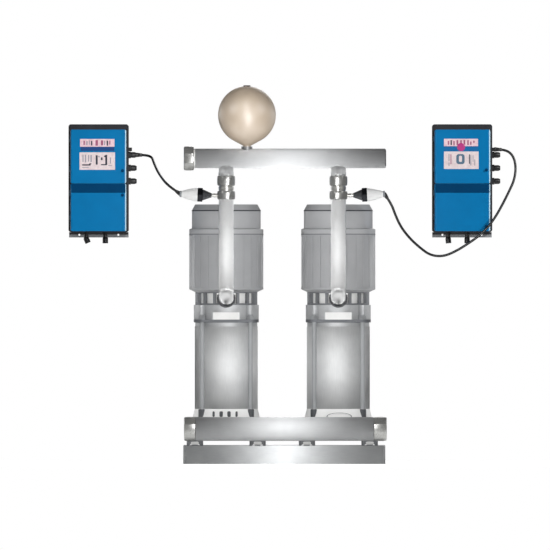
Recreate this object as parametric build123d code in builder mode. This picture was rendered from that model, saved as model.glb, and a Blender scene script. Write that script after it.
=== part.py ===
from build123d import *
import math
import os

# Millimetres. X runs to the right, Y away from the front, Z up from the floor.
# The origin is on the floor, midway between the two pump shafts.
pump_pitch = 400.0
sides = {"left": -1, "right": 1}
run_fit = 0.05
rest_gap = 0.3

# Base frame, folded from sheet, with a cross channel under each row of pump feet
frame_width = 720.0
frame_depth = 420.0
frame_height = 64.0
frame_shift = 7.0
frame_sheet = 4.0
frame_flange = 40.0
frame_corner = 10.0
cross_width = 50.0
cross_drop = 40.0
anchor_x = 340.0
anchor_y = 188.0
anchor_hole_r = 6.0

# Pump foot
foot_offset = 112.0
foot_pad = 58.0
foot_pad_height = 19.0
foot_arch_r = 5.0
foot_plate = 12.0
foot_bolt_r = 6.0
foot_bolt_flats = 19.0
foot_bolt_head = 8.0
foot_nut = 10.0
base_half = 119.0
base_corner_r = 60.0
base_shoulder = 28.0
base_flare = 7.0
base_top = 195.0
base_chamber_r = 89.0
spigot_height = 8.0
inlet_bore_r = 30.0
inlet_boss_r = 41.0
inlet_boss_y = -135.0

# Pump sleeve, staybolts and stages
sleeve_r = 112.5
sleeve_wall = 3.0
sleeve_length = 294.0
staybolt_r = 8.0
staybolt_circle_r = 122.0
staybolt_depth = 25.0
nut_flats = 24.0
nut_height = 13.0
stage_count = 4
stage_height = 66.0
stage_r = 104.0
stage_wall = 3.0
impeller_r = 84.0
impeller_width = 20.0
eye_r = 33.0
blade_count = 6
spider_height = 3.8
spider_hub_r = 20.0
pump_shaft_r = 12.0

# Pump head with the motor lantern
neck_ring_r = 111.0
neck_ring_height = 15.0
head_r = 116.0
head_height = 62.0
head_flange = 10.0
head_floor = 16.0
head_recess_r = 60.0
head_spigot = 9.0
head_pad_half = 48.0
head_pad = (10.0, 36.0)
seal_r = 22.0
lantern_height = 50.0
lantern_r = 111.0
lantern_wall = 13.0
lantern_ribs = 16
lantern_rib = 10.0
guard_sheet = 1.5
port_z = 590.0
port_y = -118.0
port_boss_r = 31.0
port_bore_r = 20.0

# Motor
motor_r = 132.5
motor_fin = 2.5
motor_fins = 24
motor_rim = 6.0
motor_length = 196.0
motor_spigot = 6.0
stator_r = 104.0
stator_bore_r = 72.5
stator_length = 120.0
air_gap = 1.0
shield_depth = 18.0
shield_r = 118.0
bearing_r = 40.0
bearing_height = 16.0
motor_shaft_r = 19.0
coupling_r = 38.0
coupling_length = 70.0
skirt_height = 22.0
cowl_r = 122.8
cowl_height = 85.0
cowl_cap = 21.0
cowl_top_r = 111.5
cowl_sheet = 2.5
fan_r = 100.0
fan_blades = 8
box_width = 120.0
box_height = 110.0
box_depth = 58.0

# Pipework
riser_r = 26.5
riser_wall = 2.5
riser_y = -168.0
riser_bend_r = 40.0
riser_collar = 10.0
spigot_length = 8.0
riser_top = 942.0
suction_r = 42.5
suction_y = -190.0
suction_z = 124.5
suction_left = -308.5
suction_right = 325.5
discharge_r = 35.0
discharge_z = 1088.5
discharge_left = -310.0
discharge_right = 370.0
manifold_wall = 2.5
branch_r = 26.0
branch_bore_r = 22.0
vessel_branch_r = 20.0
vessel_port_r = 10.0
inlet_branch_r = 36.0
inlet_collar = 12.0
socket_flats = 86.0
socket_bore_r = 36.3
socket_length = 41.5

# Check valve
valve_flats = 64.0
valve_foot = 31.0
valve_waist = 18.0
valve_cap = 36.0
valve_waist_r = 27.3
valve_bore_r = 23.0
seat_height = 23.0
seat_bore_r = 15.0
cap_lip = 6.0
cap_guide = 4.0
poppet_r = 19.0
poppet_disc = 4.5
poppet_stem_r = 4.0
spring_r = 9.0
spring_wire = 1.8
spring_turns = 3.5
port_height = 15.0

# Pressure transmitter and its plug, with the diameter of the cables
nipple_r = 6.6
nipple_length = 20.0
sensor_r = 24.5
sensor_nut = (32.0, 50.0)
sensor_length = 114.0
sensor_tail_r = 11.0
sensor_tilt = 2.5
plug_r = 8.0
plug_length = 10.0
plug_rise = {"left": 35.0, "right": -55.0}
cable_r = 4.5

# Diaphragm vessel
vessel_x = -126.0
vessel_z = 1243.0
vessel_r = 103.0
vessel_wall = 2.5
vessel_neck_r = 14.0
vessel_foot = 1131.0
valve_knob_r = 13.0

# Wall drives
drive_x = {"left": -657.6, "right": 644.2}
drive_width = 215.0
drive_bottom = 826.5
drive_top = 1212.5
wall_y = 235.0
drive_depth = 118.0
drive_wall = 4.0
drive_corner_r = 9.0
cover_width = 199.0
cover_split = 1000.0
cover_gap = 1.0
upper_cover_top = 1193.0
lower_cover_bottom = 830.0
upper_face_y = 62.0
lower_face_y = 72.0
slope_height = 33.0
cover_wall = 3.0
cover_corner_r = 6.0
mouth_lap = 4.0
hinge_offset = 4.5
hinge_forward = 4.5
knuckle_r = 3.5
knuckle_length = 18.0
pin_r = 1.8
latch_inset = 13.5
latch_stem_r = 3.0
latch_knob_r = 5.5
latch_z = {"left": (1046.0, 959.0), "right": (1049.0, 846.0)}
tab_drop = 19.0
tab_hole_spacing = 140.0
tab_hole_r = 3.5
gland_r = 10.5
gland_length = 29.0
gland_y = 150.0
gland_z = (1103.0, 1056.0, 1009.0)
bottom_gland_r = 9.0
bottom_gland_neck = 24.0
boot_neck_r = 8.0
boot_r = 10.0
boot_length = 16.0
boot_lean = {"left": ((-44.0, 24.0), (24.0, 0.0)), "right": ((-50.0, 6.0), (18.0, 0.0))}
entry_r = 6.5
entry_length = 12.0
entry_z = 1123.0

# Places worked out from the sizes above
pump_x = {side: sign * pump_pitch / 2 for side, sign in sides.items()}
foot_plate_z = frame_height + foot_pad_height
base_body_z = foot_plate_z + foot_plate
staybolt_xy = staybolt_circle_r / math.sqrt(2)
sleeve_top = base_top + sleeve_length
head_z = sleeve_top + neck_ring_height
head_top = head_z + head_height
lantern_top = head_top + lantern_height
motor_z = lantern_top + motor_spigot
motor_top = motor_z + motor_length
shaft_joint_z = head_top + 2.0
stage_z = [base_top + 4.0 + i * stage_height for i in range(stage_count)]
valve_cap_z = riser_top + valve_foot + valve_waist
valve_top = valve_cap_z + valve_cap
seat_z = riser_top + seat_height
port_axis_z = riser_top + port_height
rim_y = wall_y - drive_depth
hinge_y = rim_y - hinge_forward
hinge_x = {side: x - cover_width / 2 - hinge_offset for side, x in drive_x.items()}
latch_x = {side: x + cover_width / 2 - latch_inset for side, x in drive_x.items()}
covers = {"upper": (cover_split + cover_gap, upper_cover_top), "lower": (lower_cover_bottom, cover_split)}

os.makedirs("parts", exist_ok=True)


def save(builder, name):
    builder.part.label = name
    export_step(builder.part, f"parts/{name}.step")


def up(x, y, z):
    return Plane((x, y, z))


def forward(x, y, z):
    return Plane((x, y, z), x_dir=(1, 0, 0), z_dir=(0, -1, 0))


def sideways(x, y, z, sign=1):
    return Plane((x, y, z), x_dir=(0, 1, 0), z_dir=(sign, 0, 0))


def rod(plane, radius, length, bore=0, mode=Mode.ADD):
    with BuildSketch(plane) as section:
        Circle(radius)
        if bore:
            Circle(bore, mode=Mode.SUBTRACT)
    extrude(section.sketch, amount=length, mode=mode)


def prism(plane, flats, side_count, length, bore=0, mode=Mode.ADD):
    with BuildSketch(plane) as section:
        RegularPolygon(flats / 2, side_count, major_radius=False, rotation=180 / side_count)
        if bore:
            Circle(bore, mode=Mode.SUBTRACT)
    extrude(section.sketch, amount=length, mode=mode)


def block(x, y, z, mode=Mode.ADD):
    with Locations(((x[0] + x[1]) / 2, (y[0] + y[1]) / 2, (z[0] + z[1]) / 2)):
        Box(x[1] - x[0], y[1] - y[0], z[1] - z[0], mode=mode)


def lathe(x, y, points, mode=Mode.ADD):
    with BuildSketch(Plane((x, y, 0), x_dir=(1, 0, 0), z_dir=(0, -1, 0))) as section:
        with BuildLine():
            Polyline(*points, close=True)
        make_face()
    revolve(section.sketch, Axis((x, y, 0), (0, 0, 1)), mode=mode)


def four_corners(offset):
    return [(sx * offset, sy * offset) for sx in (-1, 1) for sy in (-1, 1)]


def base_frame():
    with BuildPart() as frame:
        with BuildSketch(up(frame_shift, 0, 0)) as outline:
            RectangleRounded(frame_width, frame_depth, frame_corner)
        extrude(outline.sketch, amount=frame_height)
        with BuildSketch(up(frame_shift, 0, frame_sheet)) as hollow:
            RectangleRounded(frame_width - 2 * frame_sheet, frame_depth - 2 * frame_sheet, frame_corner - frame_sheet)
        extrude(hollow.sketch, amount=frame_height - 2 * frame_sheet, mode=Mode.SUBTRACT)
        with BuildSketch(up(frame_shift, 0, 0)) as window:
            RectangleRounded(frame_width - 2 * frame_flange, frame_depth - 2 * frame_flange, frame_corner)
        extrude(window.sketch, amount=frame_height, mode=Mode.SUBTRACT)
        for x in pump_x.values():
            for cross_x in (x - foot_offset, x + foot_offset):
                with BuildSketch(forward(cross_x, frame_depth / 2 - frame_flange + 1, frame_height)) as channel:
                    with Locations((0, -cross_drop / 2)):
                        Rectangle(cross_width, cross_drop)
                    with Locations((0, -(cross_drop + frame_sheet) / 2)):
                        Rectangle(cross_width - 2 * frame_sheet, cross_drop - frame_sheet, mode=Mode.SUBTRACT)
                extrude(channel.sketch, amount=frame_depth - 2 * frame_flange + 2)
        with BuildSketch(up(0, 0, 0)) as anchors:
            with Locations(*[(sx * anchor_x, sy * anchor_y) for sx in (-1, 1) for sy in (-1, 1)]):
                Circle(anchor_hole_r)
        extrude(anchors.sketch, amount=frame_sheet, mode=Mode.SUBTRACT)
        with BuildSketch(up(0, 0, frame_height - frame_sheet)) as holes:
            for x in pump_x.values():
                with Locations(*[(x + dx, dy) for dx, dy in four_corners(foot_offset)]):
                    Circle(foot_bolt_r)
        extrude(holes.sketch, amount=frame_sheet, mode=Mode.SUBTRACT)
    save(frame, "base_frame")


def foot_bolts():
    with BuildPart() as bolts:
        for x in pump_x.values():
            for dx, dy in four_corners(foot_offset):
                end = up(x + dx, dy, frame_height - frame_sheet - foot_nut)
                rod(end, foot_bolt_r, base_body_z - end.origin.Z)
                prism(up(x + dx, dy, base_body_z), foot_bolt_flats, 6, foot_bolt_head)
                prism(end, foot_bolt_flats, 6, foot_nut)
    save(bolts, "foot_bolts")


def pump_base(side):
    x = pump_x[side]
    with BuildPart() as base:
        for dx, dy in four_corners(foot_offset):
            with BuildSketch(up(x + dx, dy, frame_height)) as pad:
                RectangleRounded(foot_pad, foot_pad, 8)
            extrude(pad.sketch, amount=foot_pad_height)
            for arch_x in (x + dx - foot_pad / 4, x + dx + foot_pad / 4):
                rod(forward(arch_x, dy + foot_pad / 2, frame_height), foot_arch_r, foot_pad, mode=Mode.SUBTRACT)
        with BuildSketch(up(x, 0, foot_plate_z)) as plate:
            RectangleRounded(2 * foot_offset + foot_pad, 2 * foot_offset + foot_pad, 12)
        extrude(plate.sketch, amount=foot_plate)
        with BuildSketch(up(x, 0, base_body_z)) as body:
            RectangleRounded(2 * base_half, 2 * base_half, base_corner_r)
        extrude(body.sketch, amount=base_top - base_body_z)
        top = base.faces().sort_by(Axis.Z)[-1]
        chamfer(top.edges(), length=base_flare, length2=base_shoulder, reference=top)
        rod(forward(x, -base_half + 5, suction_z), inlet_boss_r, -inlet_boss_y - base_half + 5)
        rod(up(x, 0, base_top), sleeve_r - sleeve_wall - rest_gap, spigot_height)
        rod(forward(x, inlet_boss_y, suction_z), inlet_boss_r + rest_gap, foot_pad, mode=Mode.SUBTRACT)
        rod(up(x, 0, suction_z), base_chamber_r, base_top + spigot_height - suction_z, mode=Mode.SUBTRACT)
        rod(forward(x, 0, suction_z), inlet_bore_r, -inlet_boss_y, mode=Mode.SUBTRACT)
        rod(up(x, 0, base_top), stage_r + rest_gap, spigot_height, mode=Mode.SUBTRACT)
        for dx, dy in four_corners(staybolt_xy):
            rod(up(x + dx, dy, base_top - staybolt_depth), staybolt_r, staybolt_depth, mode=Mode.SUBTRACT)
        for dx, dy in four_corners(foot_offset):
            rod(up(x + dx, dy, frame_height), foot_bolt_r, base_body_z - frame_height, mode=Mode.SUBTRACT)
    save(base, f"pump_base_{side}")


def pump_sleeves():
    with BuildPart() as sleeves:
        for x in pump_x.values():
            rod(up(x, 0, base_top), sleeve_r, sleeve_length, sleeve_r - sleeve_wall)
    save(sleeves, "pump_sleeves")


def staybolts():
    with BuildPart() as bolts:
        top = head_z + head_flange
        for x in pump_x.values():
            for dx, dy in four_corners(staybolt_xy):
                rod(up(x + dx, dy, base_top - staybolt_depth), staybolt_r, top + nut_height + 5 - base_top + staybolt_depth)
                prism(up(x + dx, dy, top), nut_flats, 6, nut_height)
    save(bolts, "staybolts")


def chamber_stacks():
    joint_gap = 0.2
    with BuildPart() as stacks:
        for x in pump_x.values():
            with BuildSketch(up(x, 0, base_top)) as spider:
                Circle(stage_r)
                Circle(stage_r - 20, mode=Mode.SUBTRACT)
                with PolarLocations(stage_r / 2, 3):
                    Rectangle(stage_r, 8)
                Circle(spider_hub_r)
                Circle(pump_shaft_r + run_fit, mode=Mode.SUBTRACT)
            extrude(spider.sketch, amount=spider_height)
            rod(up(x, 0, base_top), spider_hub_r, 14, pump_shaft_r + run_fit)
            for z in stage_z:
                rod(up(x, 0, z), stage_r, 4, eye_r + 1)
                rod(up(x, 0, z), stage_r, stage_height - joint_gap, stage_r - stage_wall)
    save(stacks, "chamber_stacks")


def impeller_stack(side):
    x = pump_x[side]
    inner, outer = eye_r - 8, impeller_r - 1
    with BuildPart() as rotor:
        rod(up(x, 0, base_top + 2), pump_shaft_r, shaft_joint_z - base_top - 2)
        for z in stage_z:
            eye_z = z + 12
            rod(up(x, 0, eye_z), impeller_r, 3, eye_r - 3)
            rod(up(x, 0, z + 2), eye_r, 12, eye_r - 3)
            rod(up(x, 0, eye_z + impeller_width - 3), impeller_r, 3)
            rod(up(x, 0, eye_z), pump_shaft_r + 5, impeller_width)
            with BuildSketch(up(x, 0, eye_z + 3)) as blades:
                with PolarLocations(0, blade_count):
                    with BuildLine():
                        back = ThreePointArc((inner, 0), (inner + 34, 18), (outer, 0))
                        ThreePointArc((inner, 0), (inner + 34, 14), (outer, 0))
                    make_face()
            extrude(blades.sketch, amount=impeller_width - 6)
    save(rotor, f"impeller_stack_{side}")


def shaft_seals():
    with BuildPart() as seals:
        for x in pump_x.values():
            rod(up(x, 0, head_z), seal_r, head_floor, pump_shaft_r + run_fit)
            rod(up(x, 0, head_z + head_floor), seal_r + 8, 5, pump_shaft_r + run_fit)
    save(seals, "shaft_seals")


def pump_head(side):
    x = pump_x[side]
    with BuildPart() as head:
        rod(up(x, 0, sleeve_top - head_spigot), sleeve_r - sleeve_wall - rest_gap, head_spigot)
        rod(up(x, 0, sleeve_top), neck_ring_r, neck_ring_height)
        rod(up(x, 0, head_z), head_r, head_height)
        with BuildSketch(up(x, 0, head_z)) as flange:
            RectangleRounded(2 * head_r, 2 * head_r, 30)
        extrude(flange.sketch, amount=head_flange)
        for dx, dy in four_corners(staybolt_xy):
            rod(up(x + dx, dy, head_z), staybolt_r, head_flange, mode=Mode.SUBTRACT)
            rod(up(x + dx, dy, head_z + head_flange), nut_flats * 0.68, head_height, mode=Mode.SUBTRACT)
        block((x - head_pad_half, x + head_pad_half), (-head_r - 4, -head_r + 20), [head_z + h for h in head_pad])
        rod(up(x, 0, head_top), lantern_r, lantern_height, lantern_r - lantern_wall)
        with BuildSketch(up(x, 0, head_top + 6)) as windows:
            pitch = 360 / lantern_ribs
            with PolarLocations(lantern_r, lantern_ribs, start_angle=pitch / 2):
                Rectangle(60, 2 * lantern_r * math.sin(math.radians(pitch / 2)) - lantern_rib)
        extrude(windows.sketch, amount=lantern_height - 14, mode=Mode.SUBTRACT)
        rod(forward(x, -head_recess_r - 2, port_z), port_boss_r, -port_y - head_recess_r - 2)
        block((x - 35, x + 35), (port_y, -40), (lantern_top - 2, lantern_top + 10), mode=Mode.SUBTRACT)
        rod(up(x, 0, lantern_top - 2), lantern_r, 2, lantern_r - lantern_wall)
        rod(up(x, 0, sleeve_top - head_spigot), sleeve_r - sleeve_wall - 10, head_spigot + neck_ring_height,
            mode=Mode.SUBTRACT)
        rod(up(x, 0, head_z), seal_r, head_height, mode=Mode.SUBTRACT)
        rod(up(x, 0, head_z + head_floor), head_recess_r, head_height, mode=Mode.SUBTRACT)
        rod(forward(x, -head_recess_r - 18, port_z), port_bore_r, 60, mode=Mode.SUBTRACT)
        block((x - 18, x + 18), (-100, -76), (head_z, port_z), mode=Mode.SUBTRACT)
    save(head, f"pump_head_{side}")


def coupling_guards():
    outer = lantern_r - lantern_wall - rest_gap
    with BuildPart() as guards:
        for x in pump_x.values():
            rod(up(x, 0, head_top), outer, lantern_height - 8, outer - guard_sheet)
            block((x - 44, x + 44), (-lantern_r, lantern_r), (head_top, lantern_top), mode=Mode.SUBTRACT)
    save(guards, "coupling_guards")


def shaft_coupling(side):
    x = pump_x[side]
    bottom = shaft_joint_z - coupling_length / 2
    with BuildPart() as coupling:
        rod(up(x, 0, bottom), coupling_r, coupling_length)
        rod(up(x, 0, bottom), pump_shaft_r, coupling_length / 2, mode=Mode.SUBTRACT)
        rod(up(x, 0, shaft_joint_z), motor_shaft_r, coupling_length / 2, mode=Mode.SUBTRACT)
        block((x - 1, x + 1), (-coupling_r, coupling_r), (bottom, bottom + coupling_length), mode=Mode.SUBTRACT)
        for z in (bottom + 16, bottom + coupling_length - 16):
            for y in (-28, 28):
                rod(sideways(x - coupling_r, y, z), 4, 2 * coupling_r, mode=Mode.SUBTRACT)
    save(coupling, f"shaft_coupling_{side}")


def motor_housing(side):
    x = pump_x[side]
    with BuildPart() as housing:
        rod(up(x, 0, motor_z), motor_r - motor_fin, motor_length)
        with BuildSketch(up(x, 0, motor_z + motor_rim)) as fins:
            with PolarLocations(motor_r - 6, motor_fins):
                Rectangle(12, 5)
            Circle(motor_r - 8, mode=Mode.SUBTRACT)
        extrude(fins.sketch, amount=motor_length - 2 * motor_rim)
        rod(up(x, 0, motor_z), motor_r, motor_rim)
        rod(up(x, 0, motor_top - motor_rim), motor_r, motor_rim)
        block((x - box_width / 2 + 8, x + box_width / 2 - 8), (100, motor_r + 5), (motor_z + 55, motor_z + 165))
        rod(up(x, 0, motor_z), stator_r, motor_length, mode=Mode.SUBTRACT)
        rod(up(x, 0, motor_z), shield_r, shield_depth, mode=Mode.SUBTRACT)
        rod(up(x, 0, motor_top - shield_depth), shield_r, shield_depth, mode=Mode.SUBTRACT)
    save(housing, f"motor_housing_{side}")


def motor_end_shields():
    fit_r = shield_r - run_fit
    shaft_hole = motor_shaft_r + 1.5
    with BuildPart() as shields:
        for x in pump_x.values():
            rod(up(x, 0, lantern_top), lantern_r, motor_spigot, shaft_hole)
            rod(up(x, 0, motor_z), fit_r, shield_depth, bearing_r)
            rod(up(x, 0, motor_top - shield_depth), fit_r, bearing_height, bearing_r)
            rod(up(x, 0, motor_top - shield_depth + bearing_height), fit_r, shield_depth - bearing_height, shaft_hole)
    save(shields, "motor_end_shields")


def motor_bearings():
    with BuildPart() as bearings:
        for x in pump_x.values():
            for z in (motor_z, motor_top - shield_depth):
                rod(up(x, 0, z), bearing_r, bearing_height, motor_shaft_r + run_fit)
    save(bearings, "motor_bearings")


def stator_cores():
    middle = motor_z + motor_length / 2
    winding = 13
    with BuildPart() as stators:
        for x in pump_x.values():
            rod(up(x, 0, middle - stator_length / 2), stator_r, stator_length, stator_bore_r)
            for z in (middle - stator_length / 2 - winding, middle + stator_length / 2):
                rod(up(x, 0, z), stator_r - 8, winding, stator_bore_r + 4)
    save(stators, "stator_cores")


def motor_rotor(side):
    x = pump_x[side]
    middle = motor_z + motor_length / 2
    core_length = stator_length - 4
    with BuildPart() as rotor:
        rod(up(x, 0, shaft_joint_z), motor_shaft_r, motor_top + 54 - shaft_joint_z)
        rod(up(x, 0, middle - core_length / 2), stator_bore_r - air_gap, core_length)
    save(rotor, f"motor_rotor_{side}")


def motor_fan(side):
    x = pump_x[side]
    z = motor_top + 28
    with BuildPart() as fan:
        rod(up(x, 0, z), 30, 26)
        rod(up(x, 0, z), 62, 3)
        with BuildSketch(up(x, 0, z)) as blades:
            with PolarLocations((28 + fan_r) / 2, fan_blades):
                Rectangle(fan_r - 28, 2.5)
        extrude(blades.sketch, amount=26)
        rod(up(x, 0, z), motor_shaft_r, 26, mode=Mode.SUBTRACT)
    save(fan, f"motor_fan_{side}")


def fan_cowl(side):
    x = pump_x[side]
    skirt_top = motor_top + skirt_height
    shoulder = skirt_top + cowl_height - cowl_cap
    inner = cowl_r - cowl_sheet
    with BuildPart() as cowl:
        lathe(x, 0, [
            (0, shoulder + cowl_cap), (cowl_top_r, shoulder + cowl_cap), (cowl_r, shoulder), (cowl_r, skirt_top),
            (motor_r, skirt_top - 4), (motor_r, motor_top), (inner, motor_top), (inner, shoulder - 1),
            (cowl_top_r - cowl_sheet, shoulder + cowl_cap - cowl_sheet), (0, shoulder + cowl_cap - cowl_sheet),
        ])
        with BuildSketch(up(x, 0, shoulder + cowl_cap - cowl_sheet)) as slots:
            with PolarLocations(64, 12):
                SlotOverall(62, 9)
        extrude(slots.sketch, amount=cowl_sheet, mode=Mode.SUBTRACT)
    save(cowl, f"fan_cowl_{side}")


def terminal_boxes():
    back = motor_r + 5
    z = motor_z + 110
    with BuildPart() as boxes:
        for x in pump_x.values():
            with BuildSketch(forward(x, back + box_depth, z)) as outline:
                RectangleRounded(box_width, box_height, 10)
            extrude(outline.sketch, amount=box_depth)
            with BuildSketch(forward(x, back + box_depth - 8, z)) as cavity:
                RectangleRounded(box_width - 8, box_height - 8, 6)
            extrude(cavity.sketch, amount=box_depth - 12, mode=Mode.SUBTRACT)
            block((x - box_width, x + box_width), (back + box_depth - 8 - rest_gap, back + box_depth - 8),
                  (z - box_height, z + box_height), mode=Mode.SUBTRACT)
            for dx in (-30, 30):
                prism(up(x + dx, back + box_depth / 2 - 4, z - box_height / 2 - 7), 24, 6, 7)
    save(boxes, "terminal_boxes")


def riser_pipe(side):
    x = pump_x[side]
    start = (x, port_y, port_z)
    with BuildPart() as riser:
        for radius, top, mode in (
            (riser_r, riser_top, Mode.ADD),
            (riser_r - riser_wall, riser_top - spigot_length, Mode.SUBTRACT),
        ):
            with BuildLine() as path:
                FilletPolyline(start, (x, riser_y, port_z), (x, riser_y, top), radius=riser_bend_r)
            with BuildSketch(forward(*start)) as section:
                Circle(radius)
            sweep(section.sketch, path=path.line, mode=mode)
            if mode == Mode.ADD:
                rod(forward(*start), port_boss_r + 0.7, riser_collar)
        rod(up(x, riser_y, riser_top), valve_bore_r + 1 - run_fit, spigot_length)
        rod(up(x, riser_y, riser_top - spigot_length), valve_bore_r - 3, 2 * spigot_length, mode=Mode.SUBTRACT)
    save(riser, f"riser_pipe_{side}")


def suction_manifold():
    length = suction_right - suction_left
    with BuildPart() as manifold:
        rod(sideways(suction_left, suction_y, suction_z), suction_r, length)
        for x in pump_x.values():
            rod(forward(x, inlet_boss_y, suction_z), inlet_branch_r, -suction_y + inlet_boss_y)
            rod(forward(x, inlet_boss_y, suction_z), inlet_boss_r, inlet_collar)
        rod(sideways(suction_left, suction_y, suction_z), suction_r - manifold_wall, length, mode=Mode.SUBTRACT)
        for x in pump_x.values():
            rod(forward(x, inlet_boss_y, suction_z), inlet_bore_r, -suction_y + inlet_boss_y, mode=Mode.SUBTRACT)
    save(manifold, "suction_manifold")


def discharge_manifold():
    length = discharge_right - discharge_left
    with BuildPart() as manifold:
        rod(sideways(discharge_left, riser_y, discharge_z), discharge_r, length)
        chamfer(manifold.faces().sort_by(Axis.X)[-1].edges(), length=4)
        for x in pump_x.values():
            rod(up(x, riser_y, valve_top), branch_r, discharge_z - valve_top)
        rod(up(vessel_x, riser_y, discharge_z), vessel_branch_r, vessel_foot - discharge_z)
        rod(sideways(discharge_left, riser_y, discharge_z), discharge_r - manifold_wall, length - 6, mode=Mode.SUBTRACT)
        for x in pump_x.values():
            rod(up(x, riser_y, valve_top), branch_bore_r, discharge_z - valve_top, mode=Mode.SUBTRACT)
        rod(up(vessel_x, riser_y, discharge_z), vessel_port_r, vessel_foot - discharge_z, mode=Mode.SUBTRACT)
    save(manifold, "discharge_manifold")


def manifold_end_sockets():
    neck = 5.0
    with BuildPart() as sockets:
        prism(sideways(suction_left, suction_y, suction_z, -1), socket_flats, 8, socket_length, socket_bore_r)
        prism(sideways(suction_right, suction_y, suction_z), socket_flats, 8, socket_length + neck, socket_bore_r)
        rod(sideways(discharge_left, riser_y, discharge_z, -1), discharge_r - 1, neck, discharge_r - 4)
        prism(sideways(discharge_left - neck, riser_y, discharge_z, -1), socket_flats, 8, 36, discharge_r - 4)
        chamfer(sockets.edges().filter_by(GeomType.LINE).filter_by(Plane.YZ), length=1.5)
        rod(sideways(discharge_left - neck - 4, riser_y, discharge_z, -1), socket_bore_r, 32, mode=Mode.SUBTRACT)
    save(sockets, "manifold_end_sockets")


def check_valve_body(side):
    x = pump_x[side]
    with BuildPart() as body:
        prism(up(x, riser_y, riser_top), valve_flats, 8, valve_foot)
        chamfer(body.edges().filter_by(Plane.XY), length=1.5)
        rod(up(x, riser_y, riser_top + valve_foot), valve_waist_r, valve_waist)
        rod(up(x, riser_y, riser_top), valve_bore_r + 1, seat_z - 6 - riser_top, mode=Mode.SUBTRACT)
        rod(up(x, riser_y, riser_top), seat_bore_r, 60, mode=Mode.SUBTRACT)
        rod(up(x, riser_y, seat_z), valve_bore_r, 60, mode=Mode.SUBTRACT)
        rod(sideways(x, riser_y, port_axis_z, sides[side]), nipple_r, valve_flats, mode=Mode.SUBTRACT)
    save(body, f"check_valve_body_{side}")


def check_valve_caps():
    guide_z = valve_cap_z + cap_lip
    with BuildPart() as caps:
        for x in pump_x.values():
            prism(up(x, riser_y, valve_cap_z), valve_flats, 8, valve_cap)
        chamfer(caps.edges().filter_by(Plane.XY), length=1.5)
        for x in pump_x.values():
            rod(up(x, riser_y, valve_cap_z), valve_bore_r, cap_lip, mode=Mode.SUBTRACT)
            rod(up(x, riser_y, guide_z + cap_guide), branch_bore_r, valve_cap, mode=Mode.SUBTRACT)
            rod(up(x, riser_y, guide_z), poppet_stem_r + run_fit, cap_guide, mode=Mode.SUBTRACT)
            with BuildSketch(up(x, riser_y, guide_z)) as windows:
                with PolarLocations(14, 4):
                    Circle(6)
            extrude(windows.sketch, amount=cap_guide, mode=Mode.SUBTRACT)
    save(caps, "check_valve_caps")


def valve_poppet(side):
    x = pump_x[side]
    with BuildPart() as poppet:
        rod(up(x, riser_y, seat_z + rest_gap), poppet_r, poppet_disc)
        rod(up(x, riser_y, seat_z), poppet_stem_r, valve_cap_z + 14 - seat_z)
    save(poppet, f"valve_poppet_{side}")


def valve_spring(side):
    x = pump_x[side]
    bottom = seat_z + rest_gap + poppet_disc + spring_wire
    height = valve_cap_z + cap_lip - bottom - spring_wire
    with BuildPart() as spring:
        with BuildLine() as coil:
            Helix(height / spring_turns, height, spring_r, center=(x, riser_y, bottom))
        with BuildSketch(Plane(coil.line @ 0, x_dir=(1, 0, 0), z_dir=coil.line % 0)) as wire:
            Rectangle(spring_wire, spring_wire)
        sweep(wire.sketch, path=coil.line, is_frenet=True)
    save(spring, f"valve_spring_{side}")


def pressure_transmitter(side):
    sign = sides[side]
    flat_x = pump_x[side] + sign * valve_flats / 2
    tip = Vector(flat_x + sign * nipple_length, riser_y, port_axis_z)
    tilt = math.radians(sensor_tilt)
    rise = math.radians(plug_rise[side])
    along = Vector(sign * math.cos(tilt), 0, math.sin(tilt))
    lead = Vector(sign * math.cos(rise), 0, math.sin(rise))
    plug_start = tip + along * (sensor_length - 2)
    low, high = sensor_nut
    with BuildPart() as sensor:
        with BuildSketch(Plane(tip, x_dir=along, z_dir=(0, -sign, 0))) as profile:
            with BuildLine():
                Polyline((high, sensor_r - 0.5), (low, sensor_r - 2.5), (0, plug_r), (0, 0), (sensor_length, 0),
                         (sensor_length, sensor_tail_r))
                ThreePointArc((high, sensor_r - 0.5), (high + 34, sensor_r - 5), (sensor_length, sensor_tail_r))
            make_face()
        revolve(profile.sketch, Axis(tip, along))
        prism(Plane(tip + along * low, x_dir=(0, 1, 0), z_dir=along), 2 * sensor_r, 6, high - low)
        rod(sideways(flat_x - sign * 6, riser_y, port_axis_z, sign), nipple_r, nipple_length + 8)
        rod(Plane(plug_start, z_dir=lead), plug_r, plug_length)
        with Locations(plug_start):
            Sphere(plug_r)
    save(sensor, f"pressure_transmitter_{side}")
    return plug_start + lead * plug_length, lead


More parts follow.
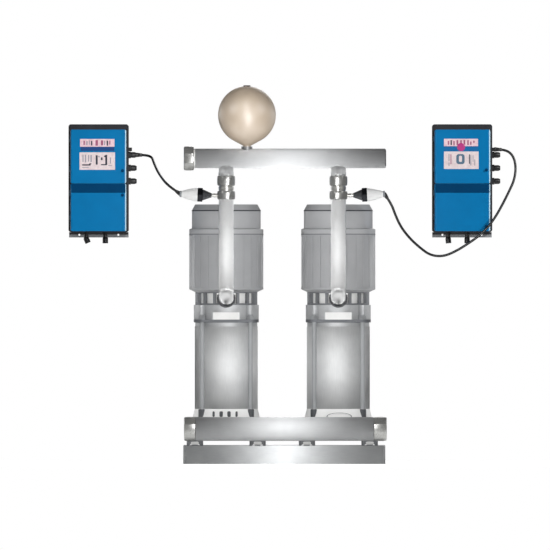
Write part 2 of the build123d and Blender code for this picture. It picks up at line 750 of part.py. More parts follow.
def vessel():
    centre = (vessel_x, riser_y, vessel_z)
    lean = math.radians(62)
    waist = (vessel_r * math.cos(lean), vessel_z - vessel_r * math.sin(lean))
    cone_z = waist[1] - (waist[0] - vessel_neck_r) / math.tan(lean)
    middle = (vessel_r * math.cos(lean / 2), vessel_z - vessel_r * math.sin(lean / 2))
    axis = Axis(centre, (0, 0, 1))
    upright = Plane((vessel_x, riser_y, 0), x_dir=(1, 0, 0), z_dir=(0, -1, 0))
    with BuildPart() as lower:
        with BuildSketch(upright) as profile:
            with BuildLine():
                ThreePointArc((vessel_r, vessel_z), middle, waist)
                Polyline(waist, (vessel_neck_r, cone_z), (vessel_neck_r, vessel_foot), (0, vessel_foot),
                         (0, vessel_z), (vessel_r, vessel_z))
            make_face()
        revolve(profile.sketch, axis)
        with Locations(centre):
            Sphere(vessel_r - vessel_wall, mode=Mode.SUBTRACT)
        rod(up(vessel_x, riser_y, vessel_foot), vessel_port_r, 40, mode=Mode.SUBTRACT)
    save(lower, "vessel_lower_shell")
    with BuildPart() as upper:
        with Locations(centre):
            Sphere(vessel_r, arc_size1=0, align=(Align.CENTER, Align.CENTER, Align.MIN))
            Sphere(vessel_r - vessel_wall, mode=Mode.SUBTRACT)
        rod(up(vessel_x, riser_y, vessel_z), 6, vessel_r + 10, mode=Mode.SUBTRACT)
    save(upper, "vessel_upper_shell")
    bag_r = vessel_r - vessel_wall - rest_gap
    with BuildPart() as membrane:
        with Locations(centre):
            Sphere(bag_r, arc_size2=0, align=(Align.CENTER, Align.CENTER, Align.MAX))
            Sphere(bag_r - 2, mode=Mode.SUBTRACT)
    save(membrane, "vessel_membrane")
    with BuildPart() as knob:
        rod(up(vessel_x, riser_y, vessel_z + vessel_r - 5), valve_knob_r, 8)
        chamfer(knob.edges().sort_by(Axis.Z)[-1], length=1.5)
        with Locations(centre):
            Sphere(vessel_r, mode=Mode.SUBTRACT)
        rod(up(vessel_x, riser_y, vessel_z + vessel_r - 12), 6, 14)
    save(knob, "vessel_valve_cap")


def knuckle_spans(cover):
    bottom, top = covers[cover]
    for z in (bottom + 24, top - 24 - 2 * knuckle_length):
        yield z, z + knuckle_length + 0.4


def drive_housing(side):
    x = drive_x[side]
    height = drive_top - drive_bottom
    middle_z = (drive_top + drive_bottom) / 2
    shelf = 14.0
    with BuildPart() as housing:
        with BuildSketch(forward(x, wall_y, middle_z)) as outline:
            RectangleRounded(drive_width, height, drive_corner_r)
        extrude(outline.sketch, amount=drive_depth)
        for bottom, top in ((drive_bottom, cover_split), (cover_split, drive_top)):
            low = bottom + (drive_wall if bottom == drive_bottom else shelf / 2)
            high = top - (drive_wall if top == drive_top else shelf / 2)
            with BuildSketch(forward(x, wall_y - drive_wall, (low + high) / 2)) as cavity:
                RectangleRounded(drive_width - 2 * drive_wall, high - low, drive_corner_r - drive_wall)
            extrude(cavity.sketch, amount=drive_depth - 2 * drive_wall, mode=Mode.SUBTRACT)
        for bottom, top in covers.values():
            mouth = ((bottom + top) / 2, top - bottom - 2 * mouth_lap - 2 * cover_wall)
            with BuildSketch(forward(x, rim_y + drive_wall, mouth[0])) as opening:
                RectangleRounded(cover_width - 2 * mouth_lap - 2 * cover_wall, mouth[1], 4)
            extrude(opening.sketch, amount=drive_wall, mode=Mode.SUBTRACT)
        block((x - drive_width / 2 + 1, x + drive_width / 2 - 1), (wall_y - drive_wall, wall_y),
              (drive_bottom - tab_drop, drive_bottom))
        for dx in (-tab_hole_spacing / 2, tab_hole_spacing / 2):
            rod(forward(x + dx, wall_y, drive_bottom - tab_drop / 2), tab_hole_r, drive_wall, mode=Mode.SUBTRACT)
        for z in latch_z[side]:
            block((latch_x[side] - 8, x + drive_width / 2 - drive_wall), (rim_y, rim_y + 14), (z - 8, z + 8))
            rod(forward(latch_x[side], rim_y + 7, z), latch_stem_r + 0.7, 7, mode=Mode.SUBTRACT)
        for cover in covers:
            for low, high in knuckle_spans(cover):
                rod(up(hinge_x[side], hinge_y, low), knuckle_r, knuckle_length)
                block((hinge_x[side] - knuckle_r + 0.5, hinge_x[side] + knuckle_r - 0.5), (hinge_y, rim_y + 3),
                      (low, low + knuckle_length))
                rod(up(hinge_x[side], hinge_y, low), pin_r, knuckle_length, mode=Mode.SUBTRACT)
    save(housing, f"drive_housing_{side}")


def hinge_pins():
    with BuildPart() as pins:
        for side in sides:
            for cover in covers:
                for low, high in knuckle_spans(cover):
                    rod(up(hinge_x[side], hinge_y, low), pin_r, 2 * knuckle_length + 0.4)
    save(pins, "hinge_pins")


def drive_cover(side, cover):
    x = drive_x[side]
    bottom, top = covers[cover]
    back = rim_y - 0.5
    face = upper_face_y if cover == "upper" else lower_face_y
    outline = [(back, bottom), (back, top), (upper_face_y, top), (face, top - slope_height), (face, bottom)]
    wall = cover_wall
    hollow = [
        (back, bottom + wall), (back, top - wall), (upper_face_y + wall, top - wall),
        (face + wall, top - slope_height), (face + wall, bottom + wall),
    ]
    if cover == "upper":
        outline.pop(3)
        hollow.pop(3)
    half = cover_width / 2
    with BuildPart() as pan:
        with BuildSketch(Plane((x - half, 0, 0), x_dir=(0, 1, 0), z_dir=(1, 0, 0))) as side_view:
            with BuildLine():
                Polyline(*outline, close=True)
            make_face()
        extrude(side_view.sketch, amount=cover_width)
        fillet(pan.edges().filter_by(lambda e: e.center().Y < back - 1 and abs(e.center().X - x) > half - 1),
               radius=cover_corner_r)
        with BuildSketch(Plane((x - half + wall, 0, 0), x_dir=(0, 1, 0), z_dir=(1, 0, 0))) as inside:
            with BuildLine():
                Polyline(*hollow, close=True)
            make_face()
        extrude(inside.sketch, amount=cover_width - 2 * wall, mode=Mode.SUBTRACT)
        z = latch_z[side][0 if cover == "upper" else 1]
        rod(forward(latch_x[side], face + 20, z), latch_stem_r + run_fit, 40, mode=Mode.SUBTRACT)
        for low, high in knuckle_spans(cover):
            rod(up(hinge_x[side], hinge_y, high), knuckle_r, knuckle_length)
            block((hinge_x[side], x - half + 1), (hinge_y - 3, hinge_y + 3), (high, high + knuckle_length))
            rod(up(hinge_x[side], hinge_y, high), pin_r + run_fit, knuckle_length, mode=Mode.SUBTRACT)
    save(pan, f"{side}_{cover}_cover")


def cover_latch(side, cover):
    z = latch_z[side][0 if cover == "upper" else 1]
    face = (upper_face_y if cover == "upper" else lower_face_y) - rest_gap
    x = latch_x[side]
    with BuildPart() as latch:
        rod(forward(x, face, z), latch_knob_r, 3)
        block((x - latch_knob_r + 1, x + latch_knob_r - 1), (face - 8, face - 3), (z - 2, z + 2))
        rod(forward(x, rim_y + 4, z), latch_stem_r, rim_y + 4 - face)
    save(latch, f"{side}_{cover}_latch")


def drive_boards():
    back = wall_y - drive_wall
    with BuildPart() as boards:
        for x in drive_x.values():
            block((x - 88, x + 80), (back - 32, back - 30), (1024, 1176))
            for dx, z in ((-80, 1032), (72, 1032), (-80, 1168), (72, 1168)):
                rod(forward(x + dx, back, z), 4, 30)
            block((x - 40, x + 40), (back - 44, back - 32), (1092, 1142))
            block((x - 76, x + 30), (back - 48, back - 32), (1030, 1048))
            block((x - 84, x + 84), (back - 24, back), (870, 896))
            for i in range(8):
                block((x - 80 + i * 20.4, x - 64 + i * 20.4), (back - 40, back - 24), (874, 892))
            for dx in (-50, 0, 50):
                rod(forward(x + dx, back, 940), 17, 70)
    save(boards, "drive_boards")


def cable_glands():
    with BuildPart() as glands:
        for side, x in drive_x.items():
            edge = x + drive_width / 2
            rod(sideways(edge, gland_y, entry_z), entry_r, entry_length)
            for z in gland_z:
                prism(sideways(edge, gland_y, z), 2 * gland_r, 6, 8)
                rod(sideways(edge + 8, gland_y, z), gland_r - 1.5, gland_length - 13)
                rod(sideways(edge + gland_length - 5, gland_y, z), gland_r - 3.5, 5)
            for dx, lean in boot_lean[side]:
                down = Plane((x + dx, gland_y + 10, drive_bottom), x_dir=(1, 0, 0), z_dir=(0, 0, -1))
                prism(down, 2 * bottom_gland_r, 6, 8)
                rod(down.offset(8), boot_neck_r, bottom_gland_neck - 8)
                boot = down.offset(bottom_gland_neck)
                with Locations(boot.origin):
                    Sphere(boot_r)
                tilt = math.radians(lean)
                rod(Plane(boot.origin, z_dir=(math.sin(tilt), 0, -math.cos(tilt))), boot_r, boot_length)
    save(glands, "cable_glands")


def sensor_cable(side, route):
    points = [Vector(*p) for p in route]
    runs = [b - a for a, b in zip(points, points[1:])]
    radii = []
    for a, b in zip(runs, runs[1:]):
        turn = math.radians(a.get_angle(b))
        radii.append(0.45 * min(a.length, b.length) / math.tan(turn / 2))
    with BuildPart() as cable:
        with BuildLine() as path:
            FilletPolyline(*points, radius=radii)
        with BuildSketch(Plane(points[0], z_dir=runs[0])) as section:
            Circle(cable_r)
        sweep(section.sketch, path=path.line)
    length = path.wire().length
    print(side, "cable radii", [round(r) for r in radii], "length", round(length, 1), "volume ratio",
          round(cable.part.volume / (math.pi * cable_r**2 * length), 5))
    save(cable, f"sensor_cable_{side}")


base_frame()
foot_bolts()
pump_sleeves()
staybolts()
chamber_stacks()
shaft_seals()
coupling_guards()
motor_end_shields()
motor_bearings()
stator_cores()
terminal_boxes()
suction_manifold()
discharge_manifold()
manifold_end_sockets()
check_valve_caps()
vessel()
hinge_pins()
drive_boards()
cable_glands()
plugs = {}
for side in sides:
    pump_base(side)
    impeller_stack(side)
    pump_head(side)
    shaft_coupling(side)
    motor_housing(side)
    motor_rotor(side)
    motor_fan(side)
    fan_cowl(side)
    riser_pipe(side)
    check_valve_body(side)
    valve_poppet(side)
    valve_spring(side)
    plugs[side] = pressure_transmitter(side)
    drive_housing(side)
    for cover in covers:
        drive_cover(side, cover)
        cover_latch(side, cover)

# The left cable leaves the top side gland and the right one the small entry above it, both along X.
# Each ends on its transmitter's plug, along the plug's own line.
cable_start = {
    "left": (drive_x["left"] + drive_width / 2 + gland_length, gland_y, gland_z[0]),
    "right": (drive_x["right"] + drive_width / 2 + entry_length, gland_y, entry_z),
}
cable_middle = {
    "left": [
        (-491, 150, 1103), (-467, 130, 1096), (-461, 82, 1079), (-454, 40, 1062), (-446, -13, 1045),
        (-437, -54, 1030), (-427, -104, 1016), (-416, -150, 1002),
    ],
    "right": [
        (797, 150, 1123), (826, 147, 1103), (837, 139, 1062), (831, 122, 1014), (811, 98, 971), (789, 70, 928),
        (765, 39, 885), (737, 8, 846), (702, -18, 812), (662, -40, 784), (620, -60, 758), (575, -81, 739),
        (528, -103, 743), (490, -124, 771), (454, -142, 804), (422, -157, 845), (402, -166, 889),
    ],
}
last_run = {"left": 30.0, "right": 34.0}
for side, middle in cable_middle.items():
    plug_end, lead = plugs[side]
    sensor_cable(side, [cable_start[side], *middle, plug_end + lead * last_run[side], plug_end])
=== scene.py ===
import math

import bmesh
import bpy
from mathutils import Matrix, Vector


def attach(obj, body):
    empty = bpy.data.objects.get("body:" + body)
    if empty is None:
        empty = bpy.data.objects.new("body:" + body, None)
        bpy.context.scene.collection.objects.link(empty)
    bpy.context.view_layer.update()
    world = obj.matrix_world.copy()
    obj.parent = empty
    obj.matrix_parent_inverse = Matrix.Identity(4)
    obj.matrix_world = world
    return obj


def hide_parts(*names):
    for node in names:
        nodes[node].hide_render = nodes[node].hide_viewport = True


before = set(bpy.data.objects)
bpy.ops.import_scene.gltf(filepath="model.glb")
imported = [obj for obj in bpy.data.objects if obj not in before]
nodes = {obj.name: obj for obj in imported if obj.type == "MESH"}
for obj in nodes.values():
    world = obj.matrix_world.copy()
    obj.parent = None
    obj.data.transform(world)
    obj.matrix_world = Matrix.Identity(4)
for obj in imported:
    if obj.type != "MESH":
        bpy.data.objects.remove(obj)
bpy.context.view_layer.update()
scene = bpy.context.scene
sideSigns = {"left": -1, "right": 1}
print("frame loaded,", len(nodes), "nodes")


def mm(*values):
    return Vector([value / 1000 for value in values])


# camera: a long lens far in front, because the photograph is a straight front view

view = {"across": 1963.5, "x": -26, "z": 673, "planeY": -50, "lens": 1200, "sensor": 36, "farthest": 150}


def setCamera():
    data = bpy.data.cameras.new("camera")
    data.lens = view["lens"]
    data.sensor_width = view["sensor"]
    data.clip_end = view["farthest"]
    distance = view["across"] * view["lens"] / view["sensor"]
    camera = bpy.data.objects.new("camera", data)
    camera.location = mm(view["x"], view["planeY"] - distance, view["z"])
    camera.rotation_euler = (math.pi / 2, 0, 0)
    scene.collection.objects.link(camera)
    scene.camera = camera


setCamera()
scene.view_settings.view_transform = "Standard"
print("camera set")


# nodes and colours

mixFactor, mixFirst, mixSecond, mixOut = 0, 6, 7, 2  # the colour sockets of the mix node
noiseRange = {"shade": (0.6, 1.4), "rough": (0.3, 0.7)}  # the middle part of the noise that is spread out
cloudSize = 60  # mm, the wide mottle over a whole piece


def linear(hexColour):
    channels = [int(hexColour[i:i + 2], 16) / 255 for i in (1, 3, 5)]
    return [c / 12.92 if c <= 0.04045 else ((c + 0.055) / 1.055) ** 2.4 for c in channels] + [1]


def addNode(tree, kind, inputs=None, **settings):
    node = tree.nodes.new(kind)
    for name, value in settings.items():
        setattr(node, name, value)
    for name, value in (inputs or {}).items():
        if isinstance(value, bpy.types.NodeSocket):
            tree.links.new(value, node.inputs[name])
        else:
            node.inputs[name].default_value = value
    return node


def startMaterial(name, sockets):
    material = bpy.data.materials.new(name)
    material.use_nodes = True
    tree = material.node_tree
    tree.nodes.clear()
    shader = addNode(tree, "ShaderNodeBsdfPrincipled", sockets)
    addNode(tree, "ShaderNodeOutputMaterial", {"Surface": shader.outputs[0]})
    return material, tree, shader


def grain(tree, spacing, stretch=(1, 1, 1), detail=2.0):
    # spacing is the real distance between marks in mm, stretch draws them out along an axis
    place = addNode(tree, "ShaderNodeTexCoord").outputs["Object"]
    scale = [1000 / spacing / s for s in stretch]
    mapped = addNode(tree, "ShaderNodeMapping", {"Vector": place, "Scale": scale}).outputs[0]
    noise = addNode(tree, "ShaderNodeTexNoise", {"Vector": mapped, "Scale": 1, "Detail": detail})
    return noise.outputs["Fac"]


def addZone(tree, colour, fine, zone):
    # another pair of colours between two places on an axis, in mm
    axis, low, high, (dark, pale) = zone
    place = addNode(tree, "ShaderNodeTexCoord").outputs["Object"]
    along = addNode(tree, "ShaderNodeSeparateXYZ", {0: place}).outputs[axis]
    inputs = {0: along, 1: (low + high) / 2000, 2: (high - low) / 2000}
    inside = addNode(tree, "ShaderNodeMath", inputs, operation="COMPARE").outputs[0]
    inputs = {mixFactor: fine, mixFirst: linear(dark), mixSecond: linear(pale)}
    other = addNode(tree, "ShaderNodeMix", inputs, data_type="RGBA").outputs[mixOut]
    inputs = {mixFactor: inside, mixFirst: colour, mixSecond: other}
    return addNode(tree, "ShaderNodeMix", inputs, data_type="RGBA").outputs[mixOut]


def addEdge(tree, colour, edge):
    # a painted highlight: a paler colour where the surface turns towards an axis, gone again on the flank
    # itself
    axis, begins, full, fades, ends, worn = edge
    faces = addNode(tree, "ShaderNodeTexCoord").outputs["Normal"]
    turn = addNode(tree, "ShaderNodeSeparateXYZ", {0: faces}).outputs[axis]
    inputs = {"Value": turn, "From Min": begins, "From Max": full}
    rubbed = addNode(tree, "ShaderNodeMapRange", inputs).outputs[0]
    inputs = {"Value": turn, "From Min": fades, "From Max": ends}
    flank = addNode(tree, "ShaderNodeMapRange", inputs).outputs[0]
    share = addNode(tree, "ShaderNodeMath", {0: rubbed, 1: flank}, operation="SUBTRACT").outputs[0]
    inputs = {mixFactor: share, mixFirst: colour, mixSecond: linear(worn)}
    return addNode(tree, "ShaderNodeMix", inputs, data_type="RGBA").outputs[mixOut]


def dress(recipe):
    # colour, roughness and relief all vary with the grain of the recipe
    material, tree, shader = startMaterial(recipe["name"], recipe.get("sockets", {}))
    fine = grain(tree, recipe["grain"], recipe.get("stretch", (1, 1, 1)))
    cloud = grain(tree, recipe.get("cloud", cloudSize), detail=3)
    both = addNode(tree, "ShaderNodeMath", {0: fine, 1: cloud}, operation="ADD").outputs[0]
    low, high = noiseRange["shade"]
    shade = addNode(tree, "ShaderNodeMapRange", {"Value": both, "From Min": low, "From Max": high})
    dark, pale = (linear(c) for c in recipe["colours"])
    inputs = {mixFactor: shade.outputs[0], mixFirst: dark, mixSecond: pale}
    colour = addNode(tree, "ShaderNodeMix", inputs, data_type="RGBA").outputs[mixOut]
    for zone in recipe.get("zones", ()):
        colour = addZone(tree, colour, fine, zone)
    # a painted highlight along a rounded edge
    if "edge" in recipe:
        colour = addEdge(tree, colour, recipe["edge"])
    tree.links.new(colour, shader.inputs["Base Color"])
    low, high = noiseRange["rough"]
    smooth, dull = recipe["roughness"]
    inputs = {"Value": fine, "From Min": low, "From Max": high, "To Min": smooth, "To Max": dull}
    tree.links.new(addNode(tree, "ShaderNodeMapRange", inputs).outputs[0], shader.inputs["Roughness"])
    bump = addNode(tree, "ShaderNodeBump", {"Height": fine, "Strength": recipe["relief"],
                                            "Distance": recipe["grain"] / 1000})
    tree.links.new(bump.outputs[0], shader.inputs["Normal"])
    if "around" in recipe:
        ring = addNode(tree, "ShaderNodeTangent", direction_type="RADIAL", axis=recipe["around"])
        tree.links.new(ring.outputs[0], shader.inputs["Tangent"])
    return material


# finishes, each one from its real material and process; the grain is in mm, and where the real grit is
# finer than that it is drawn coarser, so that it shows close up

brushedTube = {  # 304 stainless tube brushed round: a band of light right across it that fades along it
    "name": "brushedStainlessTube", "colours": ("#9fa0a1", "#aeafb0"), "grain": 0.9, "stretch": (40, 1, 1),
    "roughness": (0.47, 0.53), "relief": 0.04, "around": "X", "sockets": {"Metallic": 1, "Anisotropic": 1},
}
groundHeader = {  # the discharge tube, ground finer: its band of light fades more slowly along it
    "name": "fineGroundStainlessTube", "colours": ("#b9babb", "#c6c7c8"), "grain": 0.8, "stretch": (40, 1, 1),
    "roughness": (0.57, 0.62), "relief": 0.03, "around": "X", "sockets": {"Metallic": 1, "Anisotropic": 1},
}
groundSleeve = {  # rolled 304 stainless sleeve, ground upright: a soft round patch of light in the middle
    "name": "groundStainlessSleeve", "colours": ("#b9babb", "#d0d1d1"), "grain": 0.9, "stretch": (1, 1, 40),
    "roughness": (0.43, 0.47), "relief": 0.03, "around": "Z", "sockets": {"Metallic": 1, "Anisotropic": 1},
}
blastedPipe = {  # pickled, bead-blasted stainless pipe: the palest metal here, with painted shade where it enters the head
    "name": "blastedStainlessPipe", "colours": ("#e2e3e3", "#f2f2f2"), "grain": 0.7, "stretch": (1, 1, 3),
    "roughness": (0.47, 0.53), "relief": 0.05, "around": "Z", "sockets": {"Metallic": 1, "Anisotropic": 1},
    # painted shade on the collar where the riser enters the head
    "zones": [("Y", -129, -116, ("#5d5f62", "#74767a"))],
}
frameSheet = {  # folded stainless sheet with a lengthwise mill grain: mid grey with a long soft shine
    "name": "millStainlessSheet", "colours": ("#989a9b", "#a9aaab"), "grain": 1.1, "stretch": (30, 1, 1),
    "roughness": (0.43, 0.49), "relief": 0.04, "around": "X", "sockets": {"Metallic": 1, "Anisotropic": 1},
}
zinc = {  # zinc-plated steel fasteners: bright grey with a slight mottle
    "name": "zincPlatedSteel", "colours": ("#a9abad", "#c4c5c2"), "grain": 1.5, "roughness": (0.5, 0.62),
    "relief": 0.03, "sockets": {"Metallic": 0.8},
}
nickel = {  # nickel-plated brass hexagons and octagons: flat facets that flash one at a time
    "name": "nickelPlatedBrass", "colours": ("#c4c3bf", "#e4e3df"), "grain": 1.2, "roughness": (0.34, 0.44),
    "relief": 0.03, "sockets": {"Metallic": 1},
}
boltSteel = {  # hot-dip galvanised bar: even dull grey without a bright line
    "name": "galvanisedBar", "colours": ("#9c9ea0", "#adafb1"), "grain": 1.8, "roughness": (0.7, 0.8),
    "relief": 0.05, "sockets": {"Metallic": 0.25},
}
valveBrass = {  # forged brass, nickel plated and tumbled: soft corners, dark flanks, one small glint per face
    "name": "tumbledNickelBrass", "colours": ("#999997", "#b5b5b2"), "grain": 1.4, "roughness": (0.24, 0.34),
    "relief": 0.05, "sockets": {"Metallic": 0.7},
}
castBase = {  # casting with a painted highlight, near white on its flared shoulder, and painted shade on the darker part below
    "name": "machinedCasting", "colours": ("#e9e9e8", "#f7f7f6"), "grain": 1.6, "roughness": (0.45, 0.6),
    # painted shade on the lower part, below 166.5 mm
    "relief": 0.15, "sockets": {"Metallic": 0.1}, "zones": [("Z", 0, 166.5, ("#67696c", "#808285"))],
}
castDark = {  # raw edges and bosses of the castings, left with their dark skin
    "name": "rawCastingSkin", "colours": ("#4c4e51", "#6b6d70"), "grain": 1.6, "roughness": (0.55, 0.7),
    "relief": 0.25, "sockets": {"Metallic": 0.3},
}
palePlate = {  # bare aluminium plates and shims, etched to a matt near white
    "name": "etchedPalePlate", "colours": ("#dadad8", "#ebebea"), "grain": 1.0, "roughness": (0.5, 0.6),
    "relief": 0.04, "sockets": {"Metallic": 0.05, "IOR": 1.5},
}
greySeal = {  # grey seal of the joint between motor and cowl, nearly the enamel's own shade
    "name": "greyJointSeal", "colours": ("#707275", "#7f8184"), "grain": 0.8, "roughness": (0.6, 0.7),
    "relief": 0.05, "sockets": {"IOR": 1.5},
}
darkSeal = {  # extruded rubber of the motor's shoulder seal and the clamp below the riser: dull dark lines
    "name": "extrudedRubberSeal", "colours": ("#3b3c3f", "#4c4d50"), "grain": 0.8, "roughness": (0.6, 0.7),
    "relief": 0.05, "sockets": {"IOR": 1.5},
}
castGrey = {  # sand casting under silver-grey coat: pebbled and shining, its foot and lantern ribs in shade
    "name": "silverCoatedCasting", "colours": ("#a8aaac", "#cfd0d1"), "grain": 1.6, "roughness": (0.5, 0.62),
    "relief": 0.25, "sockets": {"Metallic": 0.6},
    "zones": [("Z", 503, 514.2, ("#5d5f62", "#74767a")), ("Z", 566, 611.8, ("#77797d", "#8c8e91"))],
}
motorEnamel = {  # die-cast aluminium sprayed with mid grey enamel: faint orange peel
    "name": "sprayedMotorEnamel", "colours": ("#a3a4a6", "#b0b1b3"), "grain": 1.4, "roughness": (0.38, 0.48),
    "relief": 0.1, "sockets": {"Metallic": 0.15, "IOR": 1.5},
}
cowlPowder = {  # deep-drawn steel cowl, powder coated a little paler than the motor
    "name": "powderCoatedCowl", "colours": ("#aaabad", "#b7b8ba"), "grain": 1.0, "roughness": (0.4, 0.5),
    "relief": 0.12, "sockets": {"Metallic": 0.1, "IOR": 1.5},
}
housingBlack = {  # glass-filled polyamide moulding with spark-eroded texture: near black, dull
    "name": "sparkTexturedPolyamide", "colours": ("#1c1d21", "#2b2c31"), "grain": 0.8,
    "roughness": (0.45, 0.6), "relief": 0.25, "sockets": {"IOR": 1.5, "Specular IOR Level": 0.3},
}
coverBlue = {  # blue polycarbonate, moulded: deep even colour with a satin gloss
    "name": "mouldedBluePolycarbonate", "colours": ("#00669a", "#006fa7"), "grain": 0.9,
    "roughness": (0.3, 0.38), "relief": 0.06, "sockets": {"IOR": 1.58, "Specular IOR Level": 0.12},
    "edge": ("X", 0.2, 0.6, 0.93, 0.995, "#bfe0f0"),  # painted highlight: the rounded edge is paler
}
coverEdge = {"left": -757.4, "right": 544.4, "reach": 30, "black": ("#0e0f12", "#1d1e22")}  # painted shade: near black along the hinge side, left of each cover, on cover and housing
mountPlate = {"low": 790, "high": 817.9, "grey": ("#77797c", "#8b8d8f")}  # bare metal plate below the housing
coverFinish, housingFinish = {}, {}
# the hinge side of covers and housings is darkened as painted shade; the grey plate below the housing is its
# bare metal
for side in sideSigns:
    leftOfCover = ("X", coverEdge[side] - coverEdge["reach"], coverEdge[side], coverEdge["black"])
    coverFinish[side] = {**coverBlue, "name": f"mouldedBluePolycarbonate_{side}", "zones": [leftOfCover]}
    housingFinish[side] = {**housingBlack, "name": f"sparkTexturedPolyamide_{side}", "zones": [
        leftOfCover, ("Z", mountPlate["low"], mountPlate["high"], mountPlate["grey"])]}
slopeNavy = {  # deep navy, almost matt: on the band between the covers it is painted shade deepening the real shade of the downward slope, on the latches their own dark colour
    "name": "mouldedNavyBand", "colours": ("#003459", "#003c65"), "grain": 0.9, "roughness": (0.4, 0.5),
    "relief": 0.06, "sockets": {"IOR": 1.5, "Specular IOR Level": 0.05},
}
vesselBeige = {  # steel bottle with beige epoxy powder coat: smooth with a wide soft highlight
    "name": "beigeEpoxyPowder", "colours": ("#c5b19a", "#cfbda7"), "grain": 1.2, "roughness": (0.58, 0.66),
    "relief": 0.08, "sockets": {"IOR": 1.5, "Coat Weight": 0.8, "Coat Roughness": 0.46, "Coat IOR": 2.6},
}
knobBrown = {  # dark brown moulded cap: even and dull with a soft sheen
    "name": "mouldedBrownCap", "colours": ("#3a2a20", "#4c392d"), "grain": 0.8, "roughness": (0.4, 0.5),
    "relief": 0.1, "sockets": {"IOR": 1.5},
}
blackPolyamide = {  # moulded black polyamide of glands, boots and fans: near black with a satin shine
    "name": "blackPolyamide", "colours": ("#0b0b0c", "#1a1a1c"), "grain": 0.6, "roughness": (0.36, 0.5),
    "relief": 0.12, "sockets": {"IOR": 1.5},
}
greyPolyamide = {  # light grey moulded polyamide: softer and duller than the white body beside it
    "name": "greyPolyamide", "colours": ("#7d8185", "#8f9397"), "grain": 0.6, "roughness": (0.4, 0.5),
    "relief": 0.1, "sockets": {"IOR": 1.5},
}
sensorWhite = {  # white moulded sensor body: glossy, with small clear highlights
    "name": "whiteSensorMoulding", "colours": ("#dcdddd", "#f0f0ef"), "grain": 0.9, "roughness": (0.25, 0.35),
    "relief": 0.04, "sockets": {"IOR": 1.5, "Coat Weight": 0.3},
}
sensorCast = {  # zinc die casting under dark grey lacquer, with flat facets
    "name": "lacqueredZincCasting", "colours": ("#56585b", "#6b6d70"), "grain": 1.0,
    "roughness": (0.22, 0.32), "relief": 0.04, "sockets": {"Metallic": 0.7},
}
sensorNut = {  # blackened steel nut: dark faces with one sharp glint
    "name": "blackenedSteelNut", "colours": ("#202124", "#313337"), "grain": 1.0, "roughness": (0.2, 0.32),
    "relief": 0.04, "sockets": {"Metallic": 0.8},
}
cableSheath = {  # extruded black PVC sheath: fine draw lines and a soft gloss
    "name": "extrudedBlackSheath", "colours": ("#08080a", "#151517"), "grain": 0.5, "stretch": (4, 4, 4),
    "roughness": (0.36, 0.48), "relief": 0.08, "sockets": {"IOR": 1.5},
}
rubberBag = {  # butyl rubber of the bag inside the vessel: black and dull
    "name": "butylRubber", "colours": ("#151515", "#222222"), "grain": 1.0, "roughness": (0.6, 0.75),
    "relief": 0.1, "sockets": {"IOR": 1.5},
}
coreSteel = {  # laminated electrical steel and bearing steel: dull, with the sheets' edges as fine rings
    "name": "laminatedCoreSteel", "colours": ("#55585c", "#7d8084"), "grain": 1.0, "stretch": (20, 20, 1),
    "roughness": (0.35, 0.5), "relief": 0.15, "sockets": {"Metallic": 1},
}
sealCarbon = {  # lapped carbon ring: dark grey with a smooth even shine
    "name": "lappedCarbon", "colours": ("#1b1b1c", "#2b2b2c"), "grain": 0.8, "roughness": (0.25, 0.35),
    "relief": 0.03, "sockets": {"Metallic": 0.2},
}
circuitGreen = {  # epoxy glass laminate under green solder mask: deep mottled green with a clear gloss
    "name": "greenSolderMask", "colours": ("#0d4a2a", "#1a6a3d"), "grain": 2.5, "roughness": (0.25, 0.4),
    "relief": 0.05, "sockets": {"IOR": 1.55, "Coat Weight": 0.4},
}
printed = {"roughness": (0.3, 0.4), "sockets": {"IOR": 1.6, "Specular IOR Level": 0.2}}  # satin film
filmPink = {  # printed polyester film: pale pink ink laid in soft clouds on white
    "name": "palePinkFilm", "colours": ("#cba9b2", "#e6cad1"), "grain": 7.0, "cloud": 18, "relief": 0.01,
    **printed,
}
filmCream = {  # the same film where little ink is on it, nearly white
    "name": "creamFilm", "colours": ("#c9b7b9", "#dfd3d4"), "grain": 6.0, "cloud": 20, "relief": 0.01,
    **printed,
}
filmNavy = {  # the printed film's navy band: flat even ink
    "name": "navyFilm", "colours": ("#173a70", "#20477f"), "grain": 1.0, "relief": 0.03, **printed,
}
filmBlue = {  # the same band in mid blue on the other drive
    "name": "midBlueFilm", "colours": ("#115a91", "#1a679f"), "grain": 1.0, "relief": 0.03, **printed,
}
plumInk = {  # screen-printed marks, muted plum: flat ink with the film's own satin
    "name": "plumInk", "colours": ("#8c4a66", "#a45f7b"), "grain": 0.8, "relief": 0.02, **printed,
}
greyInk = {  # screen-printed marks, thin lilac grey
    "name": "greyInk", "colours": ("#8a8790", "#a19da6"), "grain": 0.8, "relief": 0.02, **printed,
}
darkInk = {  # screen-printed marks, full ink
    "name": "darkInk", "colours": ("#2b2c38", "#3b3c49"), "grain": 0.8, "relief": 0.02, **printed,
}
displaySlate = {  # smoked window over the display: slate with a clear gloss
    "name": "smokedDisplayWindow", "colours": ("#4c6478", "#5e778b"), "grain": 1.5, "roughness": (0.12, 0.2),
    "relief": 0.01, "sockets": {"IOR": 1.5, "Coat Weight": 0.6},
}
keyMagenta = {  # moulded silicone key: strong even magenta, satin
    "name": "magentaKey", "colours": ("#a0246c", "#b4377e"), "grain": 0.8, "roughness": (0.35, 0.45),
    "relief": 0.05, "sockets": {"IOR": 1.45},
}
floorPaint = {  # matt floor paint: nearly white, without a highlight
    "name": "palePaintedFloor", "colours": ("#f2f2f1", "#f7f7f6"), "grain": 6.0, "roughness": (0.6, 0.7),
    "relief": 0.02, "sockets": {"IOR": 1.4},
}
